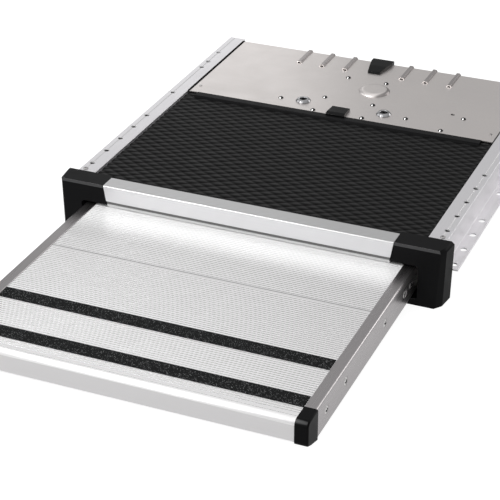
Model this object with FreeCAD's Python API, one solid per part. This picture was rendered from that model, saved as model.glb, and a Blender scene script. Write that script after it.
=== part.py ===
import FreeCAD, Part
import math
import os

V = FreeCAD.Vector

# Slide-out entry step for a vehicle door, in millimetres.
# X runs along the doorway, Y points under the vehicle, Z points up.
# While it is drawn, Y is measured from the beam's front face and Z from the tray's top.
# At the end everything moves so that the origin lies midway between the four
# outermost fixing holes, in the plane of the fixing flanges' top faces.

# Tray
TRAY_WIDTH = 550.0
MEMBER_WIDTH = 18.0
MEMBER_HEIGHT = 48.0
MEMBER_WALL = 2.0
MEMBER_ROUND = 3.5
TRAY_REACH = 436.0
TRAY_STROKE = 400.0
MEMBER_TAIL = 240.0
TREAD_DROP = 1.0
TREAD_TAIL = 46.0
TREAD_SEAM = 141.6
PLANK_GAP = 0.2
SKIN = 2.6
WEB = 2.2
WEB_FOOT = 26.0
FRONT_WEB_PLACE = 74.4
REAR_WEB_PLACE = 57.6
TAIL_DEPTH = 30.0
HOOK = 2.0
RIB_PITCH = 5.06
RIB_TOP = 3.0
RIB_DEPTH = 0.7
NOSE_DEPTH = 37.0
NOSE_LENGTH = 30.0
NOSE_ROUND = 9.0
NOSE_LINE = 0.3
TAPE_WIDTH = 27.0
TAPE_THICK = 0.8
TAPE_PLACES = (31.7, 127.6)
END_CAP_LENGTH = 36.0
END_CAP_WIDTH = 19.5
END_CAP_PROUD = 0.7
SCREW_LINE = 23.5
REAR_SCREWS = (10.0, 39.5, 129.0)
FRONT_SCREW_PLACES = (143.0, 69.0)
DIMPLE_RADIUS = 7.5
DIMPLE_DEPTH = 1.2
SCREW_HEAD_RADIUS = 4.4
SCREW_RADIUS = 2.4
PORT_WALL = 1.8
GLIDE_LENGTH = 50.0
GLIDE_INSET = 4.0
GLIDE_FRONT = 42.0
BUMPER_LENGTH = 18.0
BUMPER_GAP = 0.5

# Cassette side rails
FLANGE_TOP = 30.2
FLANGE_WIDTH = 30.0
RAIL_GAP = 5.5
RAIL_WALL = 2.5
TOP_WALL = 2.0
LOWER_FLANGE_TOP = -10.8
LOWER_FLANGE_WIDTH = 21.5
GUIDE_HEADROOM = 3.0
GUIDE_FOOTROOM = 7.5
GUIDE_LIP = 18.5
GUIDE_FLOOR = 30.5
COVER_LEDGE = 12.0
RAIL_START = 27.0
RAIL_TAIL = 8.0
FIXING_INSET = 20.5
FIXING_RADIUS = 4.5
FIXING_FIRST = 78.6
FIXING_PITCH = 50.8
FIXING_FRONT_COUNT = 5
FIXING_MIDDLE = 388.0
FIXING_REAR = (155.2, 126.5, 79.0)
LOWER_INSET = 10.5
LOWER_RADIUS = 5.6
LOWER_FIRST = 53.1
LOWER_MARGIN = 50.0
LOWER_SKIPPED = 4
GROOVE = 0.8
CORNER_SCREW_Y = 55.0
CORNER_SCREW_RADIUS = 2.1

# Front beam and corner caps
BEAM_DEPTH = 31.0
BEAM_TOP = 36.3
BEAM_BOTTOM = 9.2
BEAM_WALL = 2.0
BEAM_ROUND = 2.5
BEAM_SHORT = 15.5
BEAM_MITRE = 4.6
CAP_UNDER = 5.0
CAP_DEPTH = 38.0
CAP_WALL = 3.2
CAP_SIDE_PROUD = 14.0
CAP_SIDE_DRAFT = 2.0
CAP_FRONT_PROUD = 4.0
CAP_FRONT_DRAFT = 3.0
CAP_INBOARD = 40.0
CAP_BEVEL = 4.5
CAP_SIDE_STEP = 3.5
CAP_SIDE_START = 10.0
MOUTH_GAP = 6.5
MOUTH_TOP = 4.0
MOUTH_ROUND = 6.0
MOUTH_FOOTROOM = 4.0
CAP_FOOT_LAP = 2.0
ELBOW_BOTTOM = 13.0
ELBOW_TOP = 22.0
ELBOW_FRONT = 6.0
ELBOW_REAR = 24.0
ELBOW_REACH = 36.5
ELBOW_TAIL = 13.0

# Cover, bar and rear plate
COVER_THICK = 2.0
COVER_GAP = 2.0
COVER_LAP = 4.0
SCALE_WIDTH = 28.05
SCALE_LENGTH = 16.6
SCALE_RISE = 1.3
SCALE_LEAN = 2.6
SCALE_FRONT = 44.0
SCALE_MARGIN = 11.0
BAR_DEPTH = 17.3
BAR_INSET = 20.5
BAR_HEIGHT = 5.0
PLATE_THICK = 1.5
PLATE_AHEAD = 125.0
SKIRT_SHORT = 6.0
SWAGE_XS = (54.5, 99.0, 143.5)
SWAGE_LENGTH = 60.0
SWAGE_WIDTH = 10.0
SWAGE_HEIGHT = 3.0
BOSS_X = 27.0
BOSS_BACK = 129.0
BOSS_RADIUS = 28.0
BOSS_HEIGHT = 4.6
COLLAR_X = 74.4
COLLAR_BACK = 37.0
COLLAR_RADIUS = 13.3
COLLAR_BORE = 6.5
COLLAR_HEIGHT = 4.5
RIVET_HEAD_RADIUS = 4.6
RIVET_HEAD_HEIGHT = 2.8
RIVET_RADIUS = 2.4
DOUBLER_RIVET_PLACES = ((115.3, 34.0), (44.6, 66.0), (44.8, 7.5))
MOTOR_RIVET_PLACES = ((9.0, 39.0), (-63.0, 39.0))
SENSOR_INSET = 58.0
SENSOR_RIVET_PLACES = ((-14.0, 11.0), (8.6, 71.0))
SPARE_HOLE_PLACE = (-14.0, 82.0)
SPARE_HOLE_RADIUS = 3.6
CORNER_RIVET_INSET = 12.5
CORNER_RIVET_BACK = 28.5
CORNER_RIVET_RADIUS = 1.6
BRACKET_THICK = 2.0
GLAND_X = -120.0
GLAND_Z = -20.0
GLAND_RADIUS = 8.0

# Belt drive
PULLEY_RADIUS = 13.0
FLANGE_LIP = 3.0
BELT_GAP = 0.3
BELT_THICK = 2.0
BELT_WIDTH = 10.0
BELT_BOTTOM = 8.0
IDLER_Y = 52.0
SHAFT_RADIUS = 5.0
IDLER_PIN_RADIUS = 4.0
BORE_GAP = 0.15
SHELF_TOP = 3.0
SHELF_AHEAD = 41.0
SHELF_LEFT = 85.0
SHELF_RIGHT = 55.0
HANGER_BACK = 55.0
GEARBOX_RADIUS = 38.0
GEARBOX_DEPTH = 41.0
GEARBOX_SCREW_LINE = 30.0
BARREL_RADIUS = 15.0
BARREL_RIGHT = 34.0
MOTOR_FACE = 58.0
MOTOR_RADIUS = 22.0
MOTOR_BACK = 25.0
MOTOR_DROP = 24.0
MOTOR_LENGTH = 118.0
CLAMP_AHEAD = 18.0
CLAMP_LENGTH = 14.0
JAW_THICK = 3.0
IDLER_ARM_REACH = 24.0
IDLER_ARM_THICK = 2.5
IDLER_SCREW_Z = 16.5

DRIVE_SCREW_PLACES = (-19.0, 9.0)
DRIVE_SCREW_Y = 31.0
STRIP_THICK = 2.5

# Small pieces
SLIDE_GAP = 0.3
FIT_GAP = 0.3
HOLE_GAP = 0.1
SMALL_SCREW_RADIUS = 2.0
LID_SCREW_RADIUS = 1.2
TIE_FRONT = 45.0
TIE_WIDTH = 40.0
TIE_EDGE = 4.5
PAN_THICK = 1.5
PAN_BACK = 39.0
PAN_INSET = 5.0
PAN_SCREW_INSET = 25.0
FRAME_SCREW_INSET = 17.0

# Worked out from the sizes above
MEMBER_OUT = TRAY_WIDTH / 2
MEMBER_IN = MEMBER_OUT - MEMBER_WIDTH
TREAD_TOP = -TREAD_DROP
TAPE_FRONTS = [TRAY_REACH - y for y in TAPE_PLACES]
MEMBER_SCREWS = list(REAR_SCREWS) + [TRAY_REACH - y for y in FRONT_SCREW_PLACES]
FRONT_WEB = TREAD_SEAM + FRONT_WEB_PLACE
REAR_WEB = TREAD_SEAM - REAR_WEB_PLACE
RAIL_IN = MEMBER_OUT + RAIL_GAP
RAIL_OUT = RAIL_IN + FLANGE_WIDTH
GUIDE_TOP = GUIDE_HEADROOM
GUIDE_BOTTOM = -MEMBER_HEIGHT - GUIDE_FOOTROOM
RAIL_BOTTOM = GUIDE_BOTTOM - RAIL_WALL
CAP_FLOOR = RAIL_BOTTOM - CAP_UNDER
CAP_FOOT_TOP = -MEMBER_HEIGHT - MOUTH_FOOTROOM
PLATE_SKIRT = RAIL_BOTTOM + SKIRT_SHORT
FIXING_LINE = RAIL_IN + FIXING_INSET
LOWER_LINE = RAIL_OUT + LOWER_INSET
BEAM_HALF_TOP = MEMBER_IN - BEAM_SHORT
BEAM_HALF_BOTTOM = BEAM_HALF_TOP - BEAM_MITRE
CAP_SIDE_TOP = RAIL_OUT + CAP_SIDE_PROUD
CAP_SIDE_BOTTOM = CAP_SIDE_TOP - CAP_SIDE_DRAFT
CAP_FRONT_TOP = RAIL_OUT + CAP_FRONT_PROUD
CAP_FRONT_BOTTOM = CAP_FRONT_TOP - CAP_FRONT_DRAFT
CAP_FOOT_INNER = MEMBER_IN - CAP_FOOT_LAP
PLATE_REAR = MEMBER_TAIL + TRAY_STROKE + BUMPER_GAP + BUMPER_LENGTH + PLATE_THICK
BOSS_Y = PLATE_REAR - BOSS_BACK
PLATE_FRONT = BOSS_Y - PLATE_AHEAD
RAIL_END = PLATE_REAR + RAIL_TAIL
COVER_HALF = RAIL_IN - COVER_GAP
COVER_TAIL = PLATE_FRONT + COVER_LAP
BAR_REAR = PLATE_FRONT - 0.2
BAR_FRONT = BAR_REAR - BAR_DEPTH
BAR_HALF = RAIL_IN - BAR_INSET
SCALE_COLUMNS = int(2 * (COVER_HALF - SCALE_MARGIN) / SCALE_WIDTH)
SCALE_ROWS = 2 * int((BAR_FRONT - SCALE_FRONT) / SCALE_LENGTH - 0.5)
SWAGE_FRONT = PLATE_REAR - SWAGE_LENGTH
COLLAR_Y = PLATE_FRONT + COLLAR_BACK
SENSOR_X = MEMBER_IN - SENSOR_INSET
DOUBLER_RIVETS = [(x, PLATE_FRONT + y) for x, y in DOUBLER_RIVET_PLACES]
MOTOR_RIVETS = [(BOSS_X + x, BOSS_Y + y) for x, y in MOTOR_RIVET_PLACES]
SENSOR_RIVETS = [(SENSOR_X + x, PLATE_FRONT + y) for x, y in SENSOR_RIVET_PLACES]
SPARE_HOLE = (SENSOR_X + SPARE_HOLE_PLACE[0], PLATE_FRONT + SPARE_HOLE_PLACE[1])
CORNER_RIVET_X = RAIL_IN - CORNER_RIVET_INSET
CORNER_RIVETS = [(x, PLATE_FRONT + CORNER_RIVET_BACK) for x in (CORNER_RIVET_X, -CORNER_RIVET_X)]
PAN_FRONT = PLATE_FRONT + PAN_BACK
PAN_REAR = PLATE_REAR - PAN_INSET
PLATE_UNDER = FLANGE_TOP - PLATE_THICK
LEDGE_TOP = FLANGE_TOP - 6.0
COVER_TOP = LEDGE_TOP + COVER_THICK
MOUTH_OUT = MEMBER_OUT + MOUTH_GAP
BRACKET_TOP = PLATE_UNDER
BRACKET_UNDER = BRACKET_TOP - BRACKET_THICK
FIXING_YS = [FIXING_FIRST + FIXING_PITCH * i for i in range(FIXING_FRONT_COUNT)]
FIXING_YS += [FIXING_MIDDLE] + [RAIL_END - y for y in FIXING_REAR]
LOWER_COUNT = 1 + int((RAIL_END - LOWER_FIRST - LOWER_MARGIN) / FIXING_PITCH)
FIXING_MID = (FIXING_YS[0] + FIXING_YS[-1]) / 2
DATUM = V(0, -FIXING_MID, -FLANGE_TOP)
IDLER_SCREW_XS = (BOSS_X - 14, BOSS_X + 14)
IDLER_ARM_UNDER = LEDGE_TOP - 3.0
BELT_TOP = BELT_BOTTOM + BELT_WIDTH
BELT_INNER = PULLEY_RADIUS + BELT_GAP
GEARBOX_TOP = SHELF_TOP - BRACKET_THICK
GEARBOX_BOTTOM = GEARBOX_TOP - GEARBOX_DEPTH
SHELF_FRONT = BOSS_Y - SHELF_AHEAD
MOTOR_Y = BOSS_Y + MOTOR_BACK
MOTOR_START = BOSS_X - MOTOR_FACE - MOTOR_LENGTH
CLAMP_FRONT = IDLER_Y + CLAMP_AHEAD
CLAMP_REAR = CLAMP_FRONT + CLAMP_LENGTH
IDLER_ARM_END = IDLER_Y + IDLER_ARM_REACH
DRIVE_SCREW_XS = [BOSS_X + x for x in DRIVE_SCREW_PLACES]
SMALL_HOLE = SMALL_SCREW_RADIUS + HOLE_GAP
RIVET_HOLE = RIVET_RADIUS + HOLE_GAP
COLLAR_HOLE = COLLAR_BORE + 1.6
CAP_START = -TRAY_REACH + END_CAP_LENGTH - 4
FRAME_SCREW_XS = (-RAIL_IN + FRAME_SCREW_INSET, RAIL_IN - FRAME_SCREW_INSET)
PAN_SCREW_YS = (PAN_FRONT + PAN_SCREW_INSET, PAN_REAR - PAN_SCREW_INSET)
TIE_SCREW_Y = TIE_FRONT + TIE_WIDTH / 2


# Helpers

def section(points, place):
    """Face inside a closed outline; a point is (a, b) or (a, b, corner radius)."""
    count = len(points)
    starts, ends, arcs = [], [], []
    for i, point in enumerate(points):
        here = V(point[0], point[1], 0)
        before = V(points[i - 1][0], points[i - 1][1], 0)
        after = V(points[(i + 1) % count][0], points[(i + 1) % count][1], 0)
        radius = point[2] if len(point) > 2 else 0
        if radius == 0:
            starts.append(here)
            ends.append(here)
            arcs.append(None)
            continue
        back = (before - here).normalize()
        ahead = (after - here).normalize()
        half = back.getAngle(ahead) / 2
        run = radius / math.tan(half)
        middle = (back + ahead).normalize()
        starts.append(here + back * run)
        ends.append(here + ahead * run)
        arcs.append(here + middle * (radius / math.sin(half) - radius))
    edges = []
    for i in range(count):
        if arcs[i] is not None:
            arc = Part.Arc(place(starts[i]), place(arcs[i]), place(ends[i]))
            edges.append(arc.toShape())
        goal = starts[(i + 1) % count]
        if (goal - ends[i]).Length > 1e-6:
            edges.append(Part.LineSegment(place(ends[i]), place(goal)).toShape())
    return Part.Face(Part.Wire(edges))


def across_x(points, x0, x1):
    """Solid with a (y, z) outline, from x0 to x1."""
    return section(points, lambda p: V(x0, p.x, p.y)).extrude(V(x1 - x0, 0, 0))


def along_y(points, y0, y1):
    """Solid with an (x, z) outline, from y0 to y1."""
    return section(points, lambda p: V(p.x, y0, p.y)).extrude(V(0, y1 - y0, 0))


def up_z(points, z0, z1):
    """Solid with an (x, y) outline, from z0 to z1."""
    return section(points, lambda p: V(p.x, p.y, z0)).extrude(V(0, 0, z1 - z0))


def block(x0, x1, y0, y1, z0, z1):
    return Part.makeBox(x1 - x0, y1 - y0, z1 - z0, V(x0, y0, z0))


def rod_x(x0, x1, y, z, radius):
    return Part.makeCylinder(radius, x1 - x0, V(x0, y, z), V(1, 0, 0))


def rod_y(y0, y1, x, z, radius):
    return Part.makeCylinder(radius, y1 - y0, V(x, y0, z), V(0, 1, 0))


def rod_z(z0, z1, x, y, radius):
    return Part.makeCylinder(radius, z1 - z0, V(x, y, z0), V(0, 0, 1))


def turned(points, x, y):
    """Solid of revolution about a vertical axis through x, y; points are (radius, z)."""
    face = section(points, lambda p: V(x + p.x, y, p.y))
    return face.revolve(V(x, y, 0), V(0, 0, 1), 360)


def rectangle(x0, x1, y0, y1, radius=0):
    return [(x0, y0, radius), (x1, y0, radius), (x1, y1, radius), (x0, y1, radius)]


def joined(shapes):
    whole = shapes[0].multiFuse(shapes[1:]) if len(shapes) > 1 else shapes[0]
    return whole.removeSplitter()


def mirrored(shape):
    return shape.mirror(V(0, 0, 0), V(1, 0, 0))


def group(shapes):
    return Part.makeCompound(shapes)


def both_sides(shapes):
    return group(shapes + [mirrored(shape) for shape in shapes])


# Tray

def side_member():
    """Stainless box section with a rounded outer top edge and pressed screw dimples."""
    outer = section(
        [(MEMBER_IN, 0, 1.0), (MEMBER_IN, -MEMBER_HEIGHT, 1.5),
         (MEMBER_OUT, -MEMBER_HEIGHT, MEMBER_ROUND), (MEMBER_OUT, 0, MEMBER_ROUND)],
        lambda p: V(p.x, CAP_START, p.y))
    inner = section(
        rectangle(MEMBER_IN + MEMBER_WALL, MEMBER_OUT - MEMBER_WALL,
                  -MEMBER_HEIGHT + MEMBER_WALL, -MEMBER_WALL, MEMBER_ROUND - MEMBER_WALL),
        lambda p: V(p.x, CAP_START, p.y))
    member = outer.cut(inner).Faces[0].extrude(V(0, MEMBER_TAIL - CAP_START, 0))
    cuts = []
    for y in MEMBER_SCREWS:
        cuts.append(rod_x(MEMBER_IN - 1, MEMBER_OUT + 1, -y, -SCREW_LINE, SCREW_RADIUS + 0.2))
        cuts.append(Part.makeCone(SCREW_HEAD_RADIUS + 0.2, DIMPLE_RADIUS, DIMPLE_DEPTH,
                                  V(MEMBER_OUT - DIMPLE_DEPTH, -y, -SCREW_LINE), V(1, 0, 0)))
    return member.cut(cuts)


def member_screw(y):
    """Pan-head screw through both walls of the side member into a plank's port."""
    head_out = MEMBER_OUT - DIMPLE_DEPTH + 1.0
    head = Part.makeCone(SCREW_HEAD_RADIUS, SCREW_HEAD_RADIUS - 1.0, 1.0,
                         V(MEMBER_OUT - DIMPLE_DEPTH, y, -SCREW_LINE), V(1, 0, 0))
    shank = rod_x(MEMBER_IN - 20, MEMBER_OUT - DIMPLE_DEPTH, y, -SCREW_LINE, SCREW_RADIUS)
    socket = rod_x(head_out - 0.8, head_out + 1, y, -SCREW_LINE, 1.6)
    return joined([head, shank]).cut(socket)


def ribbed_skin(front, rear):
    """Top skin outline between two y values, with fine lengthwise ribs."""
    points = [(front, TREAD_TOP - SKIN), (front, TREAD_TOP)]
    groove = RIB_PITCH - RIB_TOP
    count = int((rear - front - RIB_TOP) / RIB_PITCH)
    for i in range(count):
        start = front + RIB_TOP + i * RIB_PITCH
        points.append((start, TREAD_TOP))
        points.append((start + groove / 2, TREAD_TOP - RIB_DEPTH))
        points.append((start + groove, TREAD_TOP))
    points += [(rear, TREAD_TOP), (rear, TREAD_TOP - SKIN)]
    return points


def plank_run(points):
    """One member of a plank's section, run along X between the side members."""
    half = MEMBER_IN - PLANK_GAP
    return across_x(points, -half, half)


def plank(members, ports):
    """Join the members of a plank's section and drill its screw ports."""
    half = MEMBER_IN - PLANK_GAP
    rods = []
    for y in ports:
        rods.append(rod_x(-half, half, y, -SCREW_LINE, SCREW_RADIUS + PORT_WALL))
        rods.append(plank_run(rectangle(y - WEB / 2, y + WEB / 2,
                                        -SCREW_LINE, TREAD_TOP - SKIN + 0.5)))
    bores = [rod_x(-MEMBER_IN, MEMBER_IN, y, -SCREW_LINE, SCREW_RADIUS + 0.1) for y in ports]
    return joined(members + rods).cut(bores)


def front_plank():
    """Front tread extrusion: ribbed skin, hollow round nose, screw ports and a hooked seam."""
    front = -TRAY_REACH
    rear = front + NOSE_LENGTH
    seam = -TREAD_SEAM
    under = TREAD_TOP - SKIN + 0.5
    line = front + NOSE_ROUND + 1
    skin = plank_run(ribbed_skin(front + NOSE_ROUND + RIB_PITCH, seam))
    nose_out = plank_run(
        [(front, TREAD_TOP, NOSE_ROUND), (front, -NOSE_DEPTH, 3.0),
         (rear, -NOSE_DEPTH, 1.0),
         (rear, -NOSE_DEPTH + WEB), (front + WEB, -NOSE_DEPTH + WEB, 2.0),
         (front + WEB, TREAD_TOP - SKIN, NOSE_ROUND - SKIN),
         (front + 16, TREAD_TOP - SKIN), (front + 16, TREAD_TOP),
         (line + 0.5, TREAD_TOP), (line, TREAD_TOP - NOSE_LINE), (line - 0.5, TREAD_TOP)])
    web = plank_run(rectangle(rear - 2, rear, -NOSE_DEPTH, under))
    middle = plank_run(rectangle(-FRONT_WEB - WEB / 2, -FRONT_WEB + WEB / 2, -WEB_FOOT, under))
    tail = plank_run([(seam - 5, under), (seam - 5, -WEB_FOOT), (seam + 6, -WEB_FOOT),
                      (seam + 6, -WEB_FOOT + HOOK), (seam - 3, -WEB_FOOT + HOOK),
                      (seam - 3, under)])
    ports = [-y for y in MEMBER_SCREWS if y > TREAD_SEAM]
    return plank([skin, nose_out, web, middle, tail], ports)


def rear_plank():
    """Rear tread extrusion, from the seam to the hidden rear edge."""
    seam = -TREAD_SEAM + PLANK_GAP
    under = TREAD_TOP - SKIN + 0.5
    seat = -WEB_FOOT + HOOK + PLANK_GAP
    skin = plank_run(ribbed_skin(seam, TREAD_TAIL))
    lead = plank_run(rectangle(seam, seam + 2, seat + 1, under))
    foot = plank_run(rectangle(seam, seam + 10, seat, seat + 2))
    middle = plank_run(rectangle(-REAR_WEB - WEB / 2, -REAR_WEB + WEB / 2, -WEB_FOOT, under))
    tail = plank_run(rectangle(TREAD_TAIL - 2, TREAD_TAIL, -TAIL_DEPTH, under))
    ports = [-y for y in MEMBER_SCREWS if y < TREAD_SEAM]
    holes = [rod_z(TREAD_TOP - SKIN - 1, TREAD_TOP + 1, x, DRIVE_SCREW_Y, SMALL_HOLE)
             for x in DRIVE_SCREW_XS]
    return plank([skin, lead, foot, middle, tail], ports).cut(holes)


def grip_tape(front):
    half = MEMBER_IN - 1
    return across_x(rectangle(-front, -front + TAPE_WIDTH, TREAD_TOP, TREAD_TOP + TAPE_THICK),
                    -half, half)


def end_cap():
    """Black bull-nosed cap with a spigot that fits inside the side member."""
    rear = CAP_START
    front = rear - END_CAP_LENGTH
    side = MEMBER_IN + END_CAP_WIDTH
    top = END_CAP_PROUD
    bottom = -MEMBER_HEIGHT - END_CAP_PROUD
    body = across_x(
        [(rear, top), (front, top, 9.0), (front, -NOSE_DEPTH + 1, 7.0),
         (front + 14, -NOSE_DEPTH - 5, 14.0), (rear, bottom)],
        MEMBER_IN, side)
    rim = [e for e in body.Edges
           if abs(e.BoundBox.XMin - side) < 0.01 and e.BoundBox.YMin < rear - 1]
    body = body.makeFillet(2.6, rim)
    inset = MEMBER_WALL + FIT_GAP
    spigot = along_y(rectangle(MEMBER_IN + inset, MEMBER_OUT - inset,
                               -MEMBER_HEIGHT + inset, -inset, 1.6), rear - 1, rear + 14)
    return joined([body, spigot])


def rear_glide():
    """Plastic shoe round the side member's tail that runs in the rail's guide."""
    out = RAIL_IN - SLIDE_GAP
    top = GUIDE_TOP - SLIDE_GAP
    bottom = GUIDE_BOTTOM + SLIDE_GAP
    inner = MEMBER_IN + GLIDE_INSET
    under = -MEMBER_HEIGHT - HOLE_GAP
    side = MEMBER_OUT + HOLE_GAP
    profile = [(inner, top, 0.8), (out, top, 2.0), (out, bottom, 2.0), (inner, bottom, 0.8),
               (inner, under), (side, under), (side, HOLE_GAP), (inner, HOLE_GAP)]
    return along_y(profile, MEMBER_TAIL - GLIDE_LENGTH, MEMBER_TAIL)


def drive_bracket():
    """Flat strip on the rear plank with one upright jaw beside the belt."""
    jaw_out = BOSS_X - BELT_INNER - BELT_THICK - BELT_GAP
    left = BOSS_X - 27
    right = BOSS_X + 17
    front = DRIVE_SCREW_Y - 10
    strip = up_z([(left, front, 3), (right, front, 3), (right, front + 30, 3),
                  (right - 14, CLAMP_FRONT - 10), (right - 14, CLAMP_REAR, 2),
                  (left, CLAMP_REAR, 2)], TREAD_TOP, TREAD_TOP + STRIP_THICK)
    jaw = across_x([(CLAMP_FRONT, TREAD_TOP + 2), (CLAMP_REAR, TREAD_TOP + 2),
                    (CLAMP_REAR, BELT_TOP, 2), (CLAMP_FRONT, BELT_TOP, 2)],
                   jaw_out - JAW_THICK, jaw_out)
    holes = [rod_z(TREAD_TOP - 1, TREAD_TOP + 4, x, DRIVE_SCREW_Y, SMALL_HOLE)
             for x in DRIVE_SCREW_XS]
    return joined([strip, jaw]).cut(holes)


def belt_clamp():
    """Small angle that holds the belt's left run against the drive bracket's jaw."""
    inner = BOSS_X - BELT_INNER + BELT_GAP
    foot = TREAD_TOP + STRIP_THICK
    return along_y([(inner, foot), (inner + 12, foot, 1), (inner + 12, foot + 2, 1),
                    (inner + 2.5, foot + 2, 1), (inner + 2.5, BELT_TOP, 1), (inner, BELT_TOP)],
                   CLAMP_FRONT, CLAMP_REAR)


def pan_screw(x, y, seat, reach, radius=SMALL_SCREW_RADIUS, head=4.0, lift=2.2):
    """Vertical screw with its head's underside at seat and its point at reach."""
    up = 1 if seat > reach else -1
    top = seat + up * lift
    cap = turned([(0, seat), (head, seat), (head, seat + up * lift * 0.5), (head * 0.6, top),
                  (0, top)], x, y)
    shank = rod_z(min(seat, reach), max(seat, reach), x, y, radius)
    socket = rod_z(min(top, top - up), max(top, top - up), x, y, head * 0.35)
    return joined([cap, shank]).cut(socket)


def drive_screws():
    return group([pan_screw(x, DRIVE_SCREW_Y, TREAD_TOP + STRIP_THICK, TREAD_TOP - SKIN - 3)
                  for x in DRIVE_SCREW_XS])


def magnet():
    return up_z(rectangle(SENSOR_X - 9, SENSOR_X + 7, 22, 34, 2), TREAD_TOP, TREAD_TOP + 3.5)


# Cassette

def side_rail():
    """Extruded side rail: fixing flange, hollow box, lower flange and tray guide."""
    lower_under = LOWER_FLANGE_TOP - RAIL_WALL
    outline = [
        (RAIL_IN, FLANGE_TOP, 0.8),
        (FIXING_LINE - GROOVE, FLANGE_TOP),
        (FIXING_LINE, FLANGE_TOP - GROOVE / 2),
        (FIXING_LINE + GROOVE, FLANGE_TOP),
        (RAIL_OUT, FLANGE_TOP, 1.0),
        (RAIL_OUT, LOWER_FLANGE_TOP, 1.0),
        (RAIL_OUT + LOWER_FLANGE_WIDTH, LOWER_FLANGE_TOP, 0.8),
        (RAIL_OUT + LOWER_FLANGE_WIDTH, lower_under, 0.8),
        (RAIL_IN + RAIL_WALL, lower_under, 1.0),
        (RAIL_IN + RAIL_WALL, RAIL_BOTTOM, 1.0),
        (RAIL_IN + RAIL_WALL - GUIDE_FLOOR, RAIL_BOTTOM, 1.0),
        (RAIL_IN + RAIL_WALL - GUIDE_FLOOR, GUIDE_BOTTOM, 1.0),
        (RAIL_IN, GUIDE_BOTTOM),
        (RAIL_IN, GUIDE_TOP),
        (RAIL_IN - GUIDE_LIP, GUIDE_TOP, 1.0),
        (RAIL_IN - GUIDE_LIP, GUIDE_TOP + RAIL_WALL, 1.0),
        (RAIL_IN, GUIDE_TOP + RAIL_WALL, 1.0),
        (RAIL_IN, LEDGE_TOP - RAIL_WALL, 1.0),
        (RAIL_IN - COVER_LEDGE, LEDGE_TOP - RAIL_WALL, 0.8),
        (RAIL_IN - COVER_LEDGE, LEDGE_TOP, 0.8),
        (RAIL_IN, LEDGE_TOP),
    ]
    hollow = rectangle(RAIL_IN + RAIL_WALL, RAIL_OUT - TOP_WALL,
                       LOWER_FLANGE_TOP, FLANGE_TOP - TOP_WALL, 0.8)
    outer_face = section(outline, lambda p: V(p.x, RAIL_START, p.y))
    hollow_face = section(hollow, lambda p: V(p.x, RAIL_START, p.y))
    rail = outer_face.cut(hollow_face).Faces[0].extrude(V(0, RAIL_END - RAIL_START, 0))
    cuts = [block(RAIL_OUT + 0.5, RAIL_OUT + LOWER_FLANGE_WIDTH + 1,
                  RAIL_START - 1, CAP_DEPTH + 0.5, lower_under - 1, LOWER_FLANGE_TOP + 1)]
    top_holes = [(y, FIXING_RADIUS) for y in FIXING_YS]
    top_holes.append((CORNER_SCREW_Y, CORNER_SCREW_RADIUS + HOLE_GAP))
    for y, radius in top_holes:
        cuts.append(rod_z(FLANGE_TOP - TOP_WALL - 1, FLANGE_TOP + 1, FIXING_LINE, y, radius))
    for i in range(LOWER_COUNT):
        if i != LOWER_SKIPPED:
            cuts.append(rod_z(lower_under - 1, LOWER_FLANGE_TOP + 1, LOWER_LINE,
                              LOWER_FIRST + FIXING_PITCH * i, LOWER_RADIUS))
    for y in (TIE_SCREW_Y,) + PAN_SCREW_YS:
        cuts.append(rod_z(RAIL_BOTTOM - 1, GUIDE_BOTTOM + 1, FRAME_SCREW_XS[1], y, SMALL_HOLE))
    return rail.cut(cuts)


def beam_section(inset):
    return [(inset, BEAM_TOP - inset, max(BEAM_ROUND - inset, 0.5)),
            (inset, BEAM_BOTTOM + inset, 1.0),
            (BEAM_DEPTH - inset, BEAM_BOTTOM + inset, 1.0),
            (BEAM_DEPTH - inset, BEAM_TOP - inset, 1.0)]


def beam_slant(offset, top, bottom, far):
    """Outline beyond the beam's slanted right end, moved along X by offset, out to far."""
    slope = (BEAM_HALF_TOP - BEAM_HALF_BOTTOM) / (BEAM_TOP - BEAM_BOTTOM)
    return [(BEAM_HALF_TOP + offset + slope * (top - BEAM_TOP), top),
            (BEAM_HALF_BOTTOM + offset + slope * (bottom - BEAM_BOTTOM), bottom),
            (far, bottom), (far, top)]


def front_beam():
    """Hollow anodised beam with slightly mitred ends and screw holes for the idler bracket."""
    reach = BEAM_HALF_TOP + 10
    outer = across_x(beam_section(0), -reach, reach)
    beam = outer.cut(across_x(beam_section(BEAM_WALL), -reach - 1, reach + 1))
    end = along_y(beam_slant(0, BEAM_TOP + 5, BEAM_BOTTOM - 5, reach + 5), -1, BEAM_DEPTH + 1)
    holes = [rod_y(BEAM_DEPTH - 5, BEAM_DEPTH + 1, x, IDLER_SCREW_Z, SMALL_HOLE)
             for x in IDLER_SCREW_XS]
    return beam.cut([end, mirrored(end)] + holes)


def cap_ring(z, front, side, inset, depth):
    """Closed plan outline of the right corner cap at height z."""
    inboard = MEMBER_IN - CAP_INBOARD
    corners = [(inboard, inset), (front, inset), (side - CAP_SIDE_STEP, CAP_SIDE_START + inset),
               (side, depth), (inboard, depth)]
    return Part.makePolygon([V(x, y, z) for x, y in corners + corners[:1]])


def cap_form():
    """Outer form of the right corner cap before it is hollowed."""
    shoulder = BEAM_TOP - CAP_BEVEL
    foot_ring = cap_ring(CAP_FLOOR, CAP_FRONT_BOTTOM, CAP_SIDE_BOTTOM, 0, CAP_DEPTH)
    shoulder_ring = cap_ring(shoulder, CAP_FRONT_TOP, CAP_SIDE_TOP, 0, CAP_DEPTH)
    crown_ring = cap_ring(BEAM_TOP, CAP_FRONT_TOP - 2, CAP_SIDE_TOP - CAP_BEVEL, 1.2,
                          CAP_DEPTH - 0.5)
    body = Part.makeLoft([foot_ring, shoulder_ring], True, True)
    return body.fuse(Part.makeLoft([shoulder_ring, crown_ring], True, True))


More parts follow.
